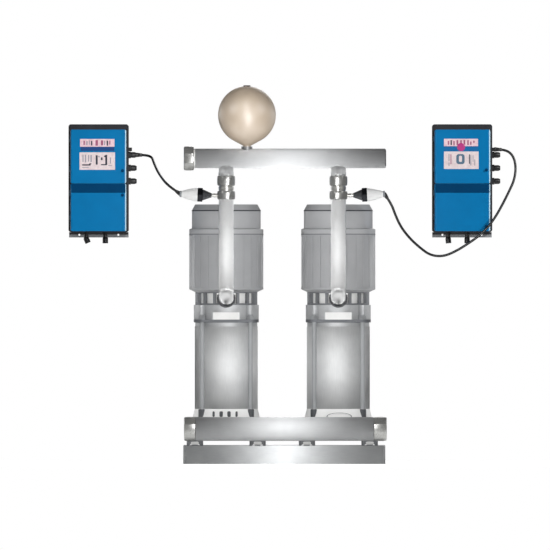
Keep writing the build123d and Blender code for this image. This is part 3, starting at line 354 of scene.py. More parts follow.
finishes = {r["name"]: dress(r) for r in (
    brushedTube, groundHeader, groundSleeve, blastedPipe, frameSheet, zinc, boltSteel, nickel, valveBrass,
    castBase, castDark, castGrey, palePlate, greySeal, darkSeal, motorEnamel, cowlPowder,
    *housingFinish.values(), *coverFinish.values(), slopeNavy, vesselBeige, knobBrown, blackPolyamide,
    greyPolyamide, sensorWhite, sensorCast, sensorNut, cableSheath, rubberBag, coreSteel, sealCarbon,
    circuitGreen, filmPink, filmCream, filmNavy, filmBlue, plumInk, greyInk, darkInk, displaySlate,
    keyMagenta, floorPaint)}

nodeFinishes = {
    "base_frame": frameSheet, "foot_bolts": zinc, "suction_manifold": brushedTube,
    "discharge_manifold": groundHeader, "manifold_end_sockets": nickel, "pump_sleeves": groundSleeve,
    "chamber_stacks": groundSleeve, "staybolts": boltSteel, "coupling_guards": palePlate,
    "motor_end_shields": motorEnamel, "stator_cores": coreSteel, "motor_bearings": coreSteel,
    "shaft_seals": sealCarbon, "terminal_boxes": motorEnamel, "check_valve_caps": nickel,
    "vessel_upper_shell": vesselBeige, "vessel_lower_shell": vesselBeige, "vessel_membrane": rubberBag,
    "vessel_valve_cap": knobBrown, "drive_boards": circuitGreen, "cable_glands": blackPolyamide,
    "hinge_pins": zinc,
}
for side in sideSigns:
    nodeFinishes.update({
        f"pump_base_{side}": castBase, f"pump_head_{side}": castGrey, f"motor_housing_{side}": motorEnamel,
        f"fan_cowl_{side}": cowlPowder, f"riser_pipe_{side}": blastedPipe, f"check_valve_body_{side}": nickel,
        f"pressure_transmitter_{side}": sensorWhite, f"drive_housing_{side}": housingFinish[side],
        f"sensor_cable_{side}": cableSheath, f"valve_poppet_{side}": nickel, f"valve_spring_{side}": zinc,
        f"impeller_stack_{side}": groundSleeve, f"shaft_coupling_{side}": zinc,
        f"motor_rotor_{side}": coreSteel, f"motor_fan_{side}": blackPolyamide,
        f"{side}_upper_cover": coverFinish[side], f"{side}_lower_cover": coverFinish[side],
        f"{side}_upper_latch": slopeNavy, f"{side}_lower_latch": slopeNavy,
    })
for name, recipe in nodeFinishes.items():
    for materialSlot in nodes[name].material_slots:
        materialSlot.material = finishes[recipe["name"]]
print("finishes made,", len(finishes))


# mesh helpers; sizes are in mm

smoothAngle = math.radians(35)
seam = 0.2  # a piece that stands on another starts this far above it
straight = 0.1  # half of what stays straight between two rounded corners
sharpest = 0.05  # the smallest corner radius


def addPiece(name, mesh, body, recipe):
    bmesh.ops.recalc_face_normals(mesh, faces=mesh.faces)
    data = bpy.data.meshes.new(name)
    mesh.to_mesh(data)
    mesh.free()
    data.shade_smooth()
    data.set_sharp_from_angle(angle=smoothAngle)
    data.materials.append(finishes[recipe["name"]])
    piece = bpy.data.objects.new(name, data)
    scene.collection.objects.link(piece)
    if body:
        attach(piece, body)
    return piece


def facing(origin, direction):
    return Matrix.Translation(origin) @ Vector(direction).to_track_quat("Z", "Y").to_matrix().to_4x4()


def stitch(mesh, rings, count):
    # a ring of one point closes the form
    for low, high in zip(rings, rings[1:]):
        for i in range(count):
            j = (i + 1) % count
            corners = [low[i % len(low)], low[j % len(low)], high[j % len(high)], high[i % len(high)]]
            corners = list(dict.fromkeys(corners))
            if len(corners) > 2:
                mesh.faces.new(corners)


def capped(mesh, rings):
    # rings of one length, closed by a face at each end
    stitch(mesh, rings, len(rings[0]))
    mesh.faces.new(rings[0])
    mesh.faces.new(rings[-1])


def toAxis(rows):
    return [(0, rows[0][1]), *rows, (0, rows[-1][1])]


def turned(mesh, profile, place, count=64):
    # profile is (radius, height) along the axis; a radius of 0 closes it in a point
    rings = []
    for radius, height in profile:
        angles = [2 * math.pi * i / count for i in range(count if radius else 1)]
        ring = [mm(radius * math.cos(a), radius * math.sin(a), height) for a in angles]
        rings.append([mesh.verts.new(place @ point) for point in ring])
    stitch(mesh, rings, count)


def faceted(mesh, place, sides, rows, count=96):
    # each row is (half the width across flats, height, crown); crown 0 is flat faces, 1 is round
    rings = []
    for half, height, crown in rows:
        ring = []
        for i in range(count if half else 1):
            angle = 2 * math.pi * i / count
            offset = (angle * sides / (2 * math.pi) + 0.5) % 1 - 0.5
            radius = half / math.cos(offset * 2 * math.pi / sides * (1 - crown))
            point = mm(radius * math.cos(angle), radius * math.sin(angle), height)
            ring.append(mesh.verts.new(place @ point))
        rings.append(ring)
    stitch(mesh, rings, count)


def roundedOutline(width, height, corner, steps=6):
    points = []
    for turn, (sx, sz) in enumerate(((1, 1), (-1, 1), (-1, -1), (1, -1))):
        for i in range(steps + 1):
            angle = math.pi / 2 * (turn + i / steps)
            points.append((sx * (width / 2 - corner) + corner * math.cos(angle),
                           sz * (height / 2 - corner) + corner * math.sin(angle)))
    return points


def slab(mesh, x, z, width, height, back, front, corner, edge):
    # a plate with rounded corners that faces forward, with a small chamfer round its front face
    rings = []
    for inset, y in ((0, back), (0, front + edge), (edge, front)):
        outline = roundedOutline(width - 2 * inset, height - 2 * inset, max(corner - inset, sharpest))
        rings.append([mesh.verts.new(mm(x + px, y, z + pz)) for px, pz in outline])
    capped(mesh, rings)


def addSlabs(name, body, recipe, back, thick, plates, corner=1.5, edge=0.15):
    mesh = bmesh.new()
    for x, z, width, height in plates:
        radius = min(corner, width / 2 - straight, height / 2 - straight)
        slab(mesh, x, z, width, height, back, back - thick, radius, edge)
    return addPiece(name, mesh, body, recipe)


# sensor cables, from the top gland of each drive to its transmitter

cables = {
    "diameter": 9,
    "left": [(-521.1, 150, 1103), (-491, 150, 1103), (-467, 130, 1096), (-461, 82, 1079), (-454, 40, 1062),
             (-446, -13, 1045), (-437, -54, 1030), (-427, -104, 1016), (-416, -150, 1002),
             (-396.7, -168, 984.8), (-372.1, -168, 967.6)],
    "right": [(763.7, 150, 1123), (797, 150, 1123), (826, 147, 1103), (837, 139, 1062), (831, 122, 1014),
              (811, 98, 971), (789, 70, 928), (765, 39, 885), (737, 8, 846), (702, -18, 812), (662, -40, 784),
              (620, -60, 758), (575, -81, 739), (528, -103, 743), (490, -124, 771), (454, -142, 804),
              (422, -157, 845), (402, -166, 889), (389.1, -168, 925.8), (369.6, -168, 953.7)],
    "length": {"left": 419.5, "right": 928.9},
}


def addCable(side):
    route = cables[side]
    curve = bpy.data.curves.new(f"cable_{side}", "CURVE")
    curve.dimensions = "3D"
    curve.bevel_depth = cables["diameter"] / 2000
    curve.bevel_resolution = 6
    curve.use_fill_caps = True
    spline = curve.splines.new("NURBS")
    spline.points.add(len(route) - 1)
    for point, place in zip(spline.points, route):
        point.co = (*mm(*place), 1)
    spline.order_u = 3
    spline.use_endpoint_u = True
    spline.resolution_u = 12
    curve.materials.append(finishes[cableSheath["name"]])
    cable = bpy.data.objects.new(f"sensorCable_{side}", curve)
    scene.collection.objects.link(cable)
    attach(cable, "set")
    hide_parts(f"sensor_cable_{side}")


for side in sideSigns:
    addCable(side)
print("cables laid")


# pressure transmitters: faceted cone, nut, white body and the ring its cable leaves through

transmitter = {  # distances run from the cone's tip along the body
    "tip": 252, "y": -168, "z": 957, "tilt": 2.5, "tipRadius": 8, "coneRadius": 22, "nut": (32, 50),
    "nutFlats": 49, "nutChamfer": (1.6, 1.4), "bodyRadius": 24, "bodySteps": 8, "bodyBend": 1.25,
    "tailRadius": 11, "tailStep": 6, "length": 114, "plugRise": {"left": 35, "right": -55}, "bootDepth": 2,
    "nippleX": 231.8,
    "cone": ((1, -1.5), (2, 0.5)),  # drop in radius, distance from the nut
    "shoulder": ((0.8, 0), (0, 0.8), (0, 5), (1, 5.6), (1, 7), (0.4, 7.6)),  # the same past the nut
    "ring": ((-0.2, 107), (0.5, 107.8), (0.5, 112.8), (-1, 114)),  # rise over the tail's radius, distance
    "boot": ((0, -4), (7.2, -3), (7.6, 4), (6.9, 8), (7.2, 8.6), (6.3, 12), (6.6, 12.6), (5.6, 16),
             (5.8, 16.6), (4.8, 20), (0, 20)),
    "nipple": ((6.5, 0), (6.5, 6), (7.4, 6.6), (7.4, 13), (6.5, 13.6), (6.5, 20.4)),  # radius, distance
}


def addTransmitter(side):
    t = transmitter
    sign = sideSigns[side]
    tilt, rise = math.radians(t["tilt"]), math.radians(t["plugRise"][side])
    tip = mm(sign * t["tip"], t["y"], t["z"])
    along = Vector((sign * math.cos(tilt), 0, math.sin(tilt)))
    lead = Vector((sign * math.cos(rise), 0, math.sin(rise)))
    low, high = t["nut"]
    place = facing(tip, along)
    mesh = bmesh.new()
    rows = [(0, seam), (t["tipRadius"], seam)]
    rows += [(t["coneRadius"] - drop, low + far) for drop, far in t["cone"]]
    turned(mesh, rows, place @ Matrix.Rotation(math.pi / 8, 4, "Z"), count=8)
    addPiece(f"sensorCone_{side}", mesh, "set", sensorCast)
    mesh = bmesh.new()
    corner = t["nutFlats"] / 2 / math.cos(math.pi / 6)
    inward, depth = t["nutChamfer"]
    turned(mesh, toAxis([(corner - inward, low), (corner, low + depth), (corner, high - depth),
                         (corner - inward, high)]), place, count=6)
    addPiece(f"sensorNut_{side}", mesh, "set", sensorNut)
    mesh = bmesh.new()
    radius, tail, end = t["bodyRadius"], t["tailRadius"], t["length"]
    rows = [(radius - drop, high + far) for drop, far in t["shoulder"]]
    wide, begin = rows[-1]
    finish = end - t["tailStep"]
    for i in range(1, t["bodySteps"] + 1):
        share = i / t["bodySteps"]
        rows.append((wide - (wide - tail) * share ** t["bodyBend"], begin + (finish - 1 - begin) * share))
    turned(mesh, toAxis([*rows, (tail - 1, finish)]), place)
    body = addPiece(f"sensorBody_{side}", mesh, "set", sensorWhite)
    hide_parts(f"pressure_transmitter_{side}")
    mesh = bmesh.new()
    turned(mesh, toAxis([(tail + rise, far) for rise, far in t["ring"]]), place)
    addPiece(f"sensorRing_{side}", mesh, "set", greyPolyamide)
    mesh = bmesh.new()
    turned(mesh, t["boot"], facing(tip + along * (end - t["bootDepth"]) / 1000, lead), count=40)
    addPiece(f"sensorBoot_{side}", mesh, "set", blackPolyamide)
    mesh = bmesh.new()
    turned(mesh, toAxis(t["nipple"]), facing(mm(sign * t["nippleX"], t["y"], t["z"]), (sign, 0, 0)), count=40)
    addPiece(f"sensorNipple_{side}", mesh, "set", nickel)


for side in sideSigns:
    addTransmitter(side)
print("transmitters fitted")


# wall drives: films, marks, round key and the band of painted shade between the covers

drive = {
    "x": {"left": -657.6, "right": 644.2}, "upperFace": 62.0, "lowerFace": 72.0, "width": 199.0,
    "slopeTop": 999.5, "slopeDrop": 33, "bandMargin": 3, "bandLift": 0.5,
    "film": 0.35, "ink": 0.1, "inkCorner": 1.2, "inkEdge": 0.03,
}
films = {  # middle x from the drive's middle, middle z, width and height of each film
    "left": {"title": (-4, 1145.5, 123, 28), "band": (-3.5, 1124.5, 120, 14.5),
             "panel": (-4, 1080.5, 127, 62.5)},
    "right": {"title": (-5, 1146.5, 122, 27.5), "band": (-5, 1125.5, 122, 17),
              "panel": (-4, 1083.5, 124, 62.5)},
}
marks = {  # plain bars on the films: x and z from the film's middle, width and height
    "left": {
        "title": [("plum", -47, 0, 5, 15), ("grey", -37, -1, 5, 14), ("grey", -28, 1, 4, 15),
                  ("dark", -20, -1, 5, 17), ("plum", -2, 0, 9, 20), ("plum", 17, 0, 8, 18),
                  ("grey", 26, 0, 4, 16), ("dark", 36, -1, 5, 18), ("plum", 45, 1, 4, 14)],
        "panel": [("grey", -51, 10, 4, 26), ("grey", -42, 9, 5, 28), ("grey", -31, 10, 4, 24),
                  ("grey", -22, 9, 5, 26), ("dark", -39, -14, 30, 4.5), ("dark", -25, -10, 8, 4),
                  ("dark", -2, 4, 7, 34), ("grey", 6, 16, 5, 6), ("dark", 16, 8, 6, 10),
                  ("dark", 32, 4, 7, 36), ("dark", 27, 17, 5, 6), ("dark", 24, -13, 22, 4),
                  ("grey", 47, 2, 4, 22), ("grey", -42, -23, 24, 2.5), ("grey", 46, -16, 14, 2.5)],
    },
    "right": {
        "title": [("plum", -45, -1, 5, 14), ("dark", -35, 0, 5, 18), ("plum", -25, -2, 5, 16),
                  ("plum", -13, 0, 6, 18), ("plum", 0, 0, 6, 18), ("plum", 12, 1, 6, 17),
                  ("plum", 25, 0, 5, 18), ("plum", 35, -2, 5, 12), ("plum", 46, 3, 5, 8)],
        "panel": [("grey", -44, 10, 3.5, 26), ("plum", -37, 4, 3, 36), ("grey", -44, -14, 3.5, 12),
                  ("dark", 29, 4, 3.5, 34), ("grey", 34, 0, 4, 38), ("grey", 42, 6, 3, 24),
                  ("grey", 48, -8, 3, 22)],
    },
}
inks = {"plum": plumInk, "grey": greyInk, "dark": darkInk}
motif = {"x": -3, "z": 4, "width": 30, "height": 36, "corner": 9, "edge": 0.2, "thick": 0.5, "innerWidth": 11,
         "innerHeight": 22, "innerCorner": 4, "innerUp": 1}
disc = {"x": 639.5, "z": 1130.5, "radius": 14.5, "thick": 1.6, "dome": ((4, 0.2), (1, 0.8))}


def addMotif(body, x, z, face):
    # a slate frame round a cream inset
    m = motif
    addSlabs("panelMotif", body, displaySlate, face, m["thick"], [(x, z, m["width"], m["height"])],
             m["corner"], m["edge"])
    inset = (x, z + m["innerUp"], m["innerWidth"], m["innerHeight"])
    addSlabs("panelMotifInset", body, filmCream, face - m["thick"], drive["ink"], [inset], m["innerCorner"],
             drive["inkEdge"])


def addRoundKey(body, face):
    radius, thick = disc["radius"], disc["thick"]
    dome = [(radius - inward, thick - drop) for inward, drop in disc["dome"]]
    mesh = bmesh.new()
    turned(mesh, [(0, thick), *dome, (radius, 0)], facing(mm(disc["x"], face, disc["z"]), (0, -1, 0)))
    addPiece("roundKey", mesh, body, keyMagenta)


def addControlFilm(side):
    body, face, middle = f"{side}_upper_door", drive["upperFace"], drive["x"][side]
    grounds = {"title": filmPink, "band": filmNavy if side == "left" else filmBlue, "panel": filmCream}
    for part, recipe in grounds.items():
        dx, z, width, height = films[side][part]
        plate = (middle + dx, z, width, height)
        addSlabs(f"{part}Film_{side}", body, recipe, face, drive["film"], [plate])
    face -= drive["film"]
    for ink, recipe in inks.items():
        bars = [(middle + films[side][part][0] + x, films[side][part][1] + z, width, height)
                for part, rows in marks[side].items() for name, x, z, width, height in rows if name == ink]
        addSlabs(f"{ink}Marks_{side}", body, recipe, face, drive["ink"], bars, drive["inkCorner"],
                 drive["inkEdge"])
    if side == "right":
        dx, z = films[side]["panel"][:2]
        addMotif(body, middle + dx + motif["x"], z + motif["z"], face)
        addRoundKey(body, face)


# a thin navy sheet laid on the slope between the covers, as painted shade
def addSlopeBand(side):
    x = drive["x"][side]
    half = drive["width"] / 2 - drive["bandMargin"]
    top, drop = drive["slopeTop"] - drive["bandLift"], drive["slopeDrop"] - 2 * drive["bandLift"]
    corners = []
    for lift in (0.0, drive["bandLift"]):
        upper = drive["upperFace"] - lift
        lower = drive["lowerFace"] - lift
        corners.append([(-half, upper, top), (half, upper, top), (half, lower, top - drop),
                        (-half, lower, top - drop)])
    mesh = bmesh.new()
    capped(mesh, [[mesh.verts.new(mm(x + px, y, z)) for px, y, z in ring] for ring in corners])
    addPiece(f"paintedShadeBand_{side}", mesh, f"{side}_lower_door", slopeNavy)


for side in sideSigns:
    addControlFilm(side)
    addSlopeBand(side)
print("drives dressed")


# cable glands and the tapered boots where the cables leave the drives

gland = {"y": 150, "z": (1103, 1056, 1009), "edge": 107.5, "collar": 8.4, "shoulder": 24, "end": 28.6,
         "radius": 10.4, "endRadius": 7.4, "ribs": 12, "crown": 0.4, "chamfer": 1.2}
boots = {  # start of the cable, the way it leaves and the boot's length; rings are radius and distance
    "left": ((-523.5, 150, 1103), (1, -0.05, -0.02), 22), "right": ((759.5, 150, 1123), (1, 0, -0.04), 26),
    "rings": ((8, 0), (8.2, 3), (7.6, 4), (7.8, 7), (7.1, 8), (7.3, 11), (6.6, 12), (6.8, 15), (6.2, 16)),
    "endRadius": (6.3, 5.6), "lip": 1.5,
}


def addGlands(side):
    mesh = bmesh.new()
    radius, crown, chamfer, end = gland["radius"], gland["crown"], gland["chamfer"], gland["end"]
    rows = [(radius - chamfer, gland["collar"], crown), (radius, gland["collar"] + chamfer, crown),
            (radius, gland["shoulder"] - 2, crown), (radius - 1, gland["shoulder"], 0.7),
            (gland["endRadius"] + 1, end - chamfer, 1), (gland["endRadius"], end, 1), (0, end, 1)]
    for z in gland["z"]:
        place = facing(mm(drive["x"][side] + gland["edge"], gland["y"], z), (1, 0, 0))
        faceted(mesh, place, gland["ribs"], rows)
    addPiece(f"glandNuts_{side}", mesh, "set", blackPolyamide)
    start, way, length = boots[side]
    outer, inner = boots["endRadius"]
    mesh = bmesh.new()
    turned(mesh, toAxis([*boots["rings"], (outer, length - boots["lip"]), (inner, length)]),
           facing(mm(*start), way), count=48)
    addPiece(f"cableBoot_{side}", mesh, "set", blackPolyamide)


for side in sideSigns:
    addGlands(side)
print("glands fitted")


# check valves and the manifolds' end sockets: crowned octagons with soft corners

valve = {
    "x": {"left": -200, "right": 200}, "y": -168, "half": 32, "crown": 0.3, "bottom": 942, "foot": 31,
    "waist": 18, "cap": 36, "waistRadius": 27.3,
    "lower": ((2, -1), (2, 3), (0, 4.5), (0, 8), (1.6, 9), (0, 10)),  # drop in radius, height over the foot
    "upper": ((0, -4.5), (2, -3), (2, 1)),  # the same over the waist's top
    "collar": ((26.4, -1), (27.4, 1.5), (27.4, 12), (26.4, 14), (26.4, 43)),  # radius, height over the cap
}
octagon = {"rim": 4.5, "rimCrown": 0.6, "chamfer": (1.2, 2), "belly": 0.9, "reach": 0.8}  # share that bulges


def octagonRows(half, low, high, crown):
    # faces that bulge a little between chamfered rims
    middle, reach = (low + high) / 2, (high - low) / 2
    rim, rimCrown, (inward, depth) = octagon["rim"], octagon["rimCrown"], octagon["chamfer"]
    rows = [(0, low, 1), (half - rim, low, rimCrown), (half - inward, low + depth, crown)]
    for step in (-1, -0.5, 0, 0.5, 1):
        rows.append((half - octagon["belly"] * step ** 4, middle + step * octagon["reach"] * reach, crown))
    return rows + [(half - inward, high - depth, crown), (half - rim, high, rimCrown), (0, high, 1)]


def addValve(side):
    v = valve
    place = Matrix.Translation(mm(v["x"][side], v["y"], v["bottom"]))
    mesh = bmesh.new()
    faceted(mesh, place, 8, octagonRows(v["half"], 0, v["foot"], v["crown"]))
    body = addPiece(f"valveBody_{side}", mesh, "set", valveBrass)
    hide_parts(f"check_valve_body_{side}")
    ringLow, ringHigh = v["foot"], v["foot"] + v["waist"]
    radius = v["waistRadius"]
    mesh = bmesh.new()
    rows = [(radius - drop, ringLow + up) for drop, up in v["lower"]]
    rows += [(radius - drop, ringHigh + up) for drop, up in v["upper"]]
    turned(mesh, toAxis(rows), place)
    addPiece(f"valveWaist_{side}", mesh, "set", nickel)
    mesh = bmesh.new()
    faceted(mesh, place, 8, octagonRows(v["half"], ringHigh, ringHigh + v["cap"], v["crown"]))
    cap = addPiece(f"valveCap_{side}", mesh, "set", valveBrass)
    mesh = bmesh.new()
    turned(mesh, toAxis([(wide, ringHigh + v["cap"] + up) for wide, up in v["collar"]]), place)
    addPiece(f"branchCollar_{side}", mesh, "set", groundSleeve)
    return cap


caps = [addValve(side) for side in sideSigns]
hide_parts("check_valve_caps")

sockets = {  # name: inner end, the way it faces, length of its octagon and of the pale seal before it
    "suctionSocketLeft": ((-308.5, -190, 124.5), -1, 41.5, 0),
    "suctionSocketRight": ((325.5, -190, 124.5), 1, 46.5, 0),
    "dischargeSocket": ((-310, -168, 1088.5), -1, 41, 5),
    "half": 43, "bore": 36.3, "boreChamfer": 1.5, "depth": 26, "crown": 0.25, "sealRadius": 34.5,
}


def addSocket(name):
    start, way, length, seal = sockets[name]
    place = facing(mm(*start), (way, 0, 0))
    bore, chamfer, ground = sockets["bore"], sockets["boreChamfer"], length - sockets["depth"]
    rows = octagonRows(sockets["half"], seal, length, sockets["crown"])[:-1]
    rows += [(bore + chamfer, length, 1), (bore, length - chamfer, 1), (bore, ground, 1), (0, ground, 1)]
    mesh = bmesh.new()
    faceted(mesh, place, 8, rows)
    piece = addPiece(name, mesh, "set", valveBrass)
    if seal:
        mesh = bmesh.new()
        turned(mesh, toAxis([(sockets["sealRadius"], seam), (sockets["sealRadius"], seal)]), place)
        addPiece("dischargeSeal", mesh, "set", palePlate)
    return piece


ends = [addSocket(name) for name in ("suctionSocketLeft", "suctionSocketRight", "dischargeSocket")]
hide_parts("manifold_end_sockets")
print("valves and sockets fitted")


# pumps: seals of the motor, lantern details, lugs, pads, screws and the forms of the two bases

pump = {"x": {"left": -200, "right": 200}, "bolt": 86.3, "footX": 112, "footFront": -141, "footZ": 73.5,
        "padFront": -120, "padZ": 527, "portZ": 590}

motorSeals = {"shoulder": ((122.9, 900.6), (123.3, 901), (123.3, 904.2), (121.6, 905.6)),
              "skirt": ((132.6, 816.8), (132.9, 817.2), (132.9, 820), (132.6, 820.4))}
motorSkirt = ((112, 612.5), (130.5, 621.2), (131.5, 624), (131.5, 630), (128, 630))
ringDepth = 4


def addRing(name, profile, x, recipe):
    # the profile is closed behind its first point, inside the solid
    mesh = bmesh.new()
    inside = profile[0][0] - ringDepth
    rows = [(inside, profile[0][1]), *profile, (inside, profile[-1][1])]
    turned(mesh, rows, Matrix.Translation(mm(x, 0, 0)), count=128)
    addPiece(name, mesh, "set", recipe)


cheeks = {"radius": 97, "sheet": 1.2, "from": 33.5, "to": 47, "low": 568, "high": 615, "steps": 6}


def addCheeks(x, side):
    # sheet panels of the coupling guard, each side of the port, between two distances from the middle
    c = cheeks
    inner = c["radius"] - c["sheet"]
    section = ((c["radius"], c["low"]), (c["radius"], c["high"]), (inner, c["high"]), (inner, c["low"]))
    mesh = bmesh.new()
    for sign in (-1, 1):
        rings = []
        for i in range(c["steps"] + 1):
            angle = math.asin((c["from"] + (c["to"] - c["from"]) * i / c["steps"]) / c["radius"])
            across, forward = sign * math.sin(angle), -math.cos(angle)
            rings.append([mesh.verts.new(mm(x + r * across, r * forward, z)) for r, z in section])
        capped(mesh, rings)
    addPiece(f"guardPanels_{side}", mesh, "set", palePlate)


clamp = {"inner": 27, "outer": 33.5, "y": -150, "thick": 22, "start": -188, "sweep": 196, "steps": 40}


def addClamp(x, side):
    # dark half ring under the riser's foot, where it meets the head
    c, z = clamp, pump["portZ"]
    back = c["y"] + c["thick"]
    section = ((c["inner"], c["y"]), (c["outer"], c["y"]), (c["outer"], back), (c["inner"], back))
    mesh = bmesh.new()
    rings = []
    for i in range(c["steps"] + 1):
        angle = math.radians(c["start"] + c["sweep"] * i / c["steps"])
        across, up = math.cos(angle), math.sin(angle)
        rings.append([mesh.verts.new(mm(x + r * across, y, z + r * up)) for r, y in section])
    capped(mesh, rings)
    addPiece(f"portClamp_{side}", mesh, "set", darkSeal)


lugs = {"radius": 13, "y": -101, "low": 158, "high": 194.6, "chamfer": 2}


def addLugs(x, side):
    radius, high, chamfer = lugs["radius"], lugs["high"], lugs["chamfer"]
    rows = toAxis([(radius, lugs["low"]), (radius, high - chamfer), (radius - chamfer, high)])
    mesh = bmesh.new()
    for sign in (-1, 1):
        turned(mesh, rows, Matrix.Translation(mm(x + sign * pump["bolt"], lugs["y"], 0)), count=40)
    addPiece(f"boltLugs_{side}", mesh, "set", castDark)


pads = {"width": 94, "height": 26, "corner": 2, "thick": 0.6, "shimWidth": 29, "shimHeight": 11,
        "shimCorner": 5}


def addPads(x, side):
    p = pads
    pad = (x, pump["padZ"], p["width"], p["height"])
    addSlabs(f"headPad_{side}", "set", palePlate, pump["padFront"], p["thick"], [pad], p["corner"])
    shims = [(x + sign * pump["footX"], pump["footZ"], p["shimWidth"], p["shimHeight"])
             for sign in (-1, 1)]
    addSlabs(f"footShims_{side}", "set", palePlate, pump["footFront"], p["thick"], shims, p["shimCorner"])


boxScrews = {"dx": 50, "dz": 45, "z": 732, "back": 195.5, "radius": 4.5, "height": 2.6, "root": -1, "rim": 1,
             "crown": (1.4, 0.3), "recess": (1.8, 1.6)}


def addBoxScrews(x, side):
    s = boxScrews
    radius, height, (inward, drop), (bore, depth) = s["radius"], s["height"], s["crown"], s["recess"]
    rows = toAxis([(radius, s["root"]), (radius, s["rim"]), (radius - inward, height - drop), (bore, height),
                   (bore, height - depth)])
    mesh = bmesh.new()
    for across in (-1, 1):
        for up in (-1, 1):
            start = mm(x + across * s["dx"], s["back"], s["z"] + up * s["dz"])
            turned(mesh, rows, facing(start, (0, 1, 0)), count=24)
    addPiece(f"boxScrews_{side}", mesh, "set", zinc)


bosses = {"dx": (-45, -18, 10, 37), "z": 177, "y": -116, "width": (8, 12, 12, 8), "height": 20, "thick": 5,
          "corner": 4, "edge": 1.2}


def addBosses(x):
    b = bosses
    studs = [(x + dx, b["z"], width, b["height"]) for dx, width in zip(b["dx"], b["width"])]
    addSlabs("baseBosses", "set", castDark, b["y"], b["thick"], studs, b["corner"], b["edge"])


ovalRim = {"dx": 3, "z": 168, "y": -118.6, "radius": 45, "band": 3, "root": -6, "thick": 3, "flatten": 0.31}


def addOvalRim(x):
    radius, band, root, thick = (ovalRim[key] for key in ("radius", "band", "root", "thick"))
    place = facing(mm(x + ovalRim["dx"], ovalRim["y"], ovalRim["z"]), (0, -1, 0))
    flat = place @ Matrix.Diagonal((1, ovalRim["flatten"], 1, 1))
    mesh = bmesh.new()
    rows = [(radius - band, root), (radius - band, thick), (radius, thick), (radius, root)]
    turned(mesh, rows, flat, count=80)
    addPiece("baseOvalRim", mesh, "set", castDark)


def addPumpDetails(side):
    x = pump["x"][side]
    for name, profile in motorSeals.items():
        addRing(f"{name}Seal_{side}", profile, x, darkSeal if name == "shoulder" else greySeal)
    addRing(f"motorSkirt_{side}", motorSkirt, x, motorEnamel)
    for add in (addCheeks, addClamp, addLugs, addPads, addBoxScrews):
        add(x, side)
    if side == "left":
        addBosses(x)
    else:
        addOvalRim(x)


for side in sideSigns:
    addPumpDetails(side)
print("pumps detailed")


# floor, lights and world

lights = {  # place and target in mm, width in mm, power in watts; the small front lamps cast no shadow
    "lowFront": ((0, -1350, 350), (0, 0, 350), 100, 3.7),
    "middleFront": ((0, -1350, 755), (0, 0, 755), 100, 3.3),
    "highFront": ((45, -1350, 1110), (45, 0, 1110), 100, 3.3),
    "leftKey": ((-2700, -1900, 2500), (0, 0, 700), 1500, 26),
    "rightKey": ((2700, -1900, 2500), (0, 0, 700), 1500, 26),
    "rear": ((300, 2600, 2200), (0, 0, 700), 1500, 18),
    "leftRim": ((-2500, 1700, 1100), (0, 0, 600), 1500, 14),
    "rightRim": ((2500, 1700, 1100), (0, 0, 600), 1500, 14),
}
snoots = {  # snooted lamps: place and target, cone in degrees, softness of its edge, radius, power
    "leftDrive": ((350, -2350, 2350), (-657.6, 60, 1010), 10.5, 0.25, 120, 200),
    "rightDrive": ((2450, -1900, 2300), (644.2, 60, 1010), 13, 0.35, 120, 215),
    "vessel": ((-126, -2000, 2380), (-126, -160, 1256), 5.8, 0.4, 90, 46),
    "vesselGlint": ((-126, -2300, 1440), (-126, -160, 1250), 5.4, 0.8, 60, 36),
}
room = {"level": 0.11, "above": 0.045, "fade": 0.6}  # its light at eye level, above, and where it has faded
floorPlane = {"x": 2200, "y": 1100, "z": -0.5, "glow": 0.62}  # half of its width and depth


def placeLamp(data, place, target):
    lamp = bpy.data.objects.new(data.name, data)
    lamp.location = mm(*place)
    lamp.rotation_mode = "QUATERNION"
    lamp.rotation_quaternion = (mm(*target) - mm(*place)).to_track_quat("-Z", "Y")
    lamp.visible_camera = False
    scene.collection.objects.link(lamp)


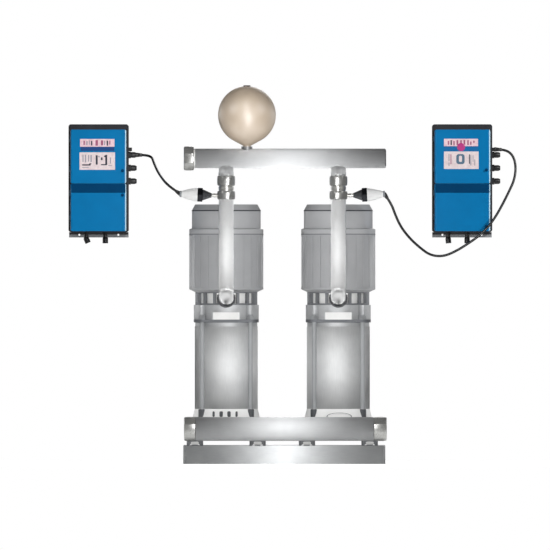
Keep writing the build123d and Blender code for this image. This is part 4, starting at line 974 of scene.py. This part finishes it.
def addLight(name, place, target, width, power):
    data = bpy.data.lights.new(name, "AREA")
    data.shape = "DISK"
    data.size = width / 1000
    data.energy = power
    data.use_shadow = not name.endswith("Front")
    placeLamp(data, place, target)


def addSnoot(name, place, target, cone, softness, radius, power):
    data = bpy.data.lights.new(f"{name}Lamp", "SPOT")
    data.spot_size = math.radians(cone)
    data.spot_blend = softness
    data.shadow_soft_size = radius / 1000
    data.energy = power
    placeLamp(data, place, target)


def setWorld():
    # the backdrop is seen as white, but lights the metal as a grey room that is palest at eye level
    world = bpy.data.worlds.new("studio")
    world.use_nodes = True
    tree = world.node_tree
    tree.nodes.clear()
    seen = addNode(tree, "ShaderNodeLightPath").outputs["Is Camera Ray"]
    backdrop = addNode(tree, "ShaderNodeBackground", {"Color": (1, 1, 1, 1), "Strength": 1.0})
    towards = addNode(tree, "ShaderNodeTexCoord").outputs["Generated"]
    height = addNode(tree, "ShaderNodeSeparateXYZ", {0: towards}).outputs["Z"]
    height = addNode(tree, "ShaderNodeMath", {0: height}, operation="ABSOLUTE").outputs[0]
    inputs = {"Value": height, "From Max": room["fade"], "To Min": room["level"], "To Max": room["above"]}
    level = addNode(tree, "ShaderNodeMapRange", inputs).outputs[0]
    glow = addNode(tree, "ShaderNodeBackground", {"Color": (1, 1, 1, 1), "Strength": level})
    mixed = addNode(tree, "ShaderNodeMixShader", {0: seen, 1: glow.outputs[0], 2: backdrop.outputs[0]})
    addNode(tree, "ShaderNodeOutputWorld", {"Surface": mixed.outputs[0]})
    scene.world = world


def addFloor():
    x, y, z = floorPlane["x"], floorPlane["y"], floorPlane["z"]
    corners = (-x, -y, z), (x, -y, z), (x, y, z), (-x, y, z)
    mesh = bmesh.new()
    mesh.faces.new([mesh.verts.new(mm(*corner)) for corner in corners])
    floor = addPiece("floor", mesh, None, floorPaint)
    shader = floor.data.materials[0].node_tree.nodes["Principled BSDF"]
    shader.inputs["Emission Color"].default_value = (1, 1, 1, 1)
    shader.inputs["Emission Strength"].default_value = floorPlane["glow"]


for name, values in lights.items():
    addLight(name, *values)
for name, values in snoots.items():
    addSnoot(name, *values)
setWorld()
addFloor()
print("studio set")
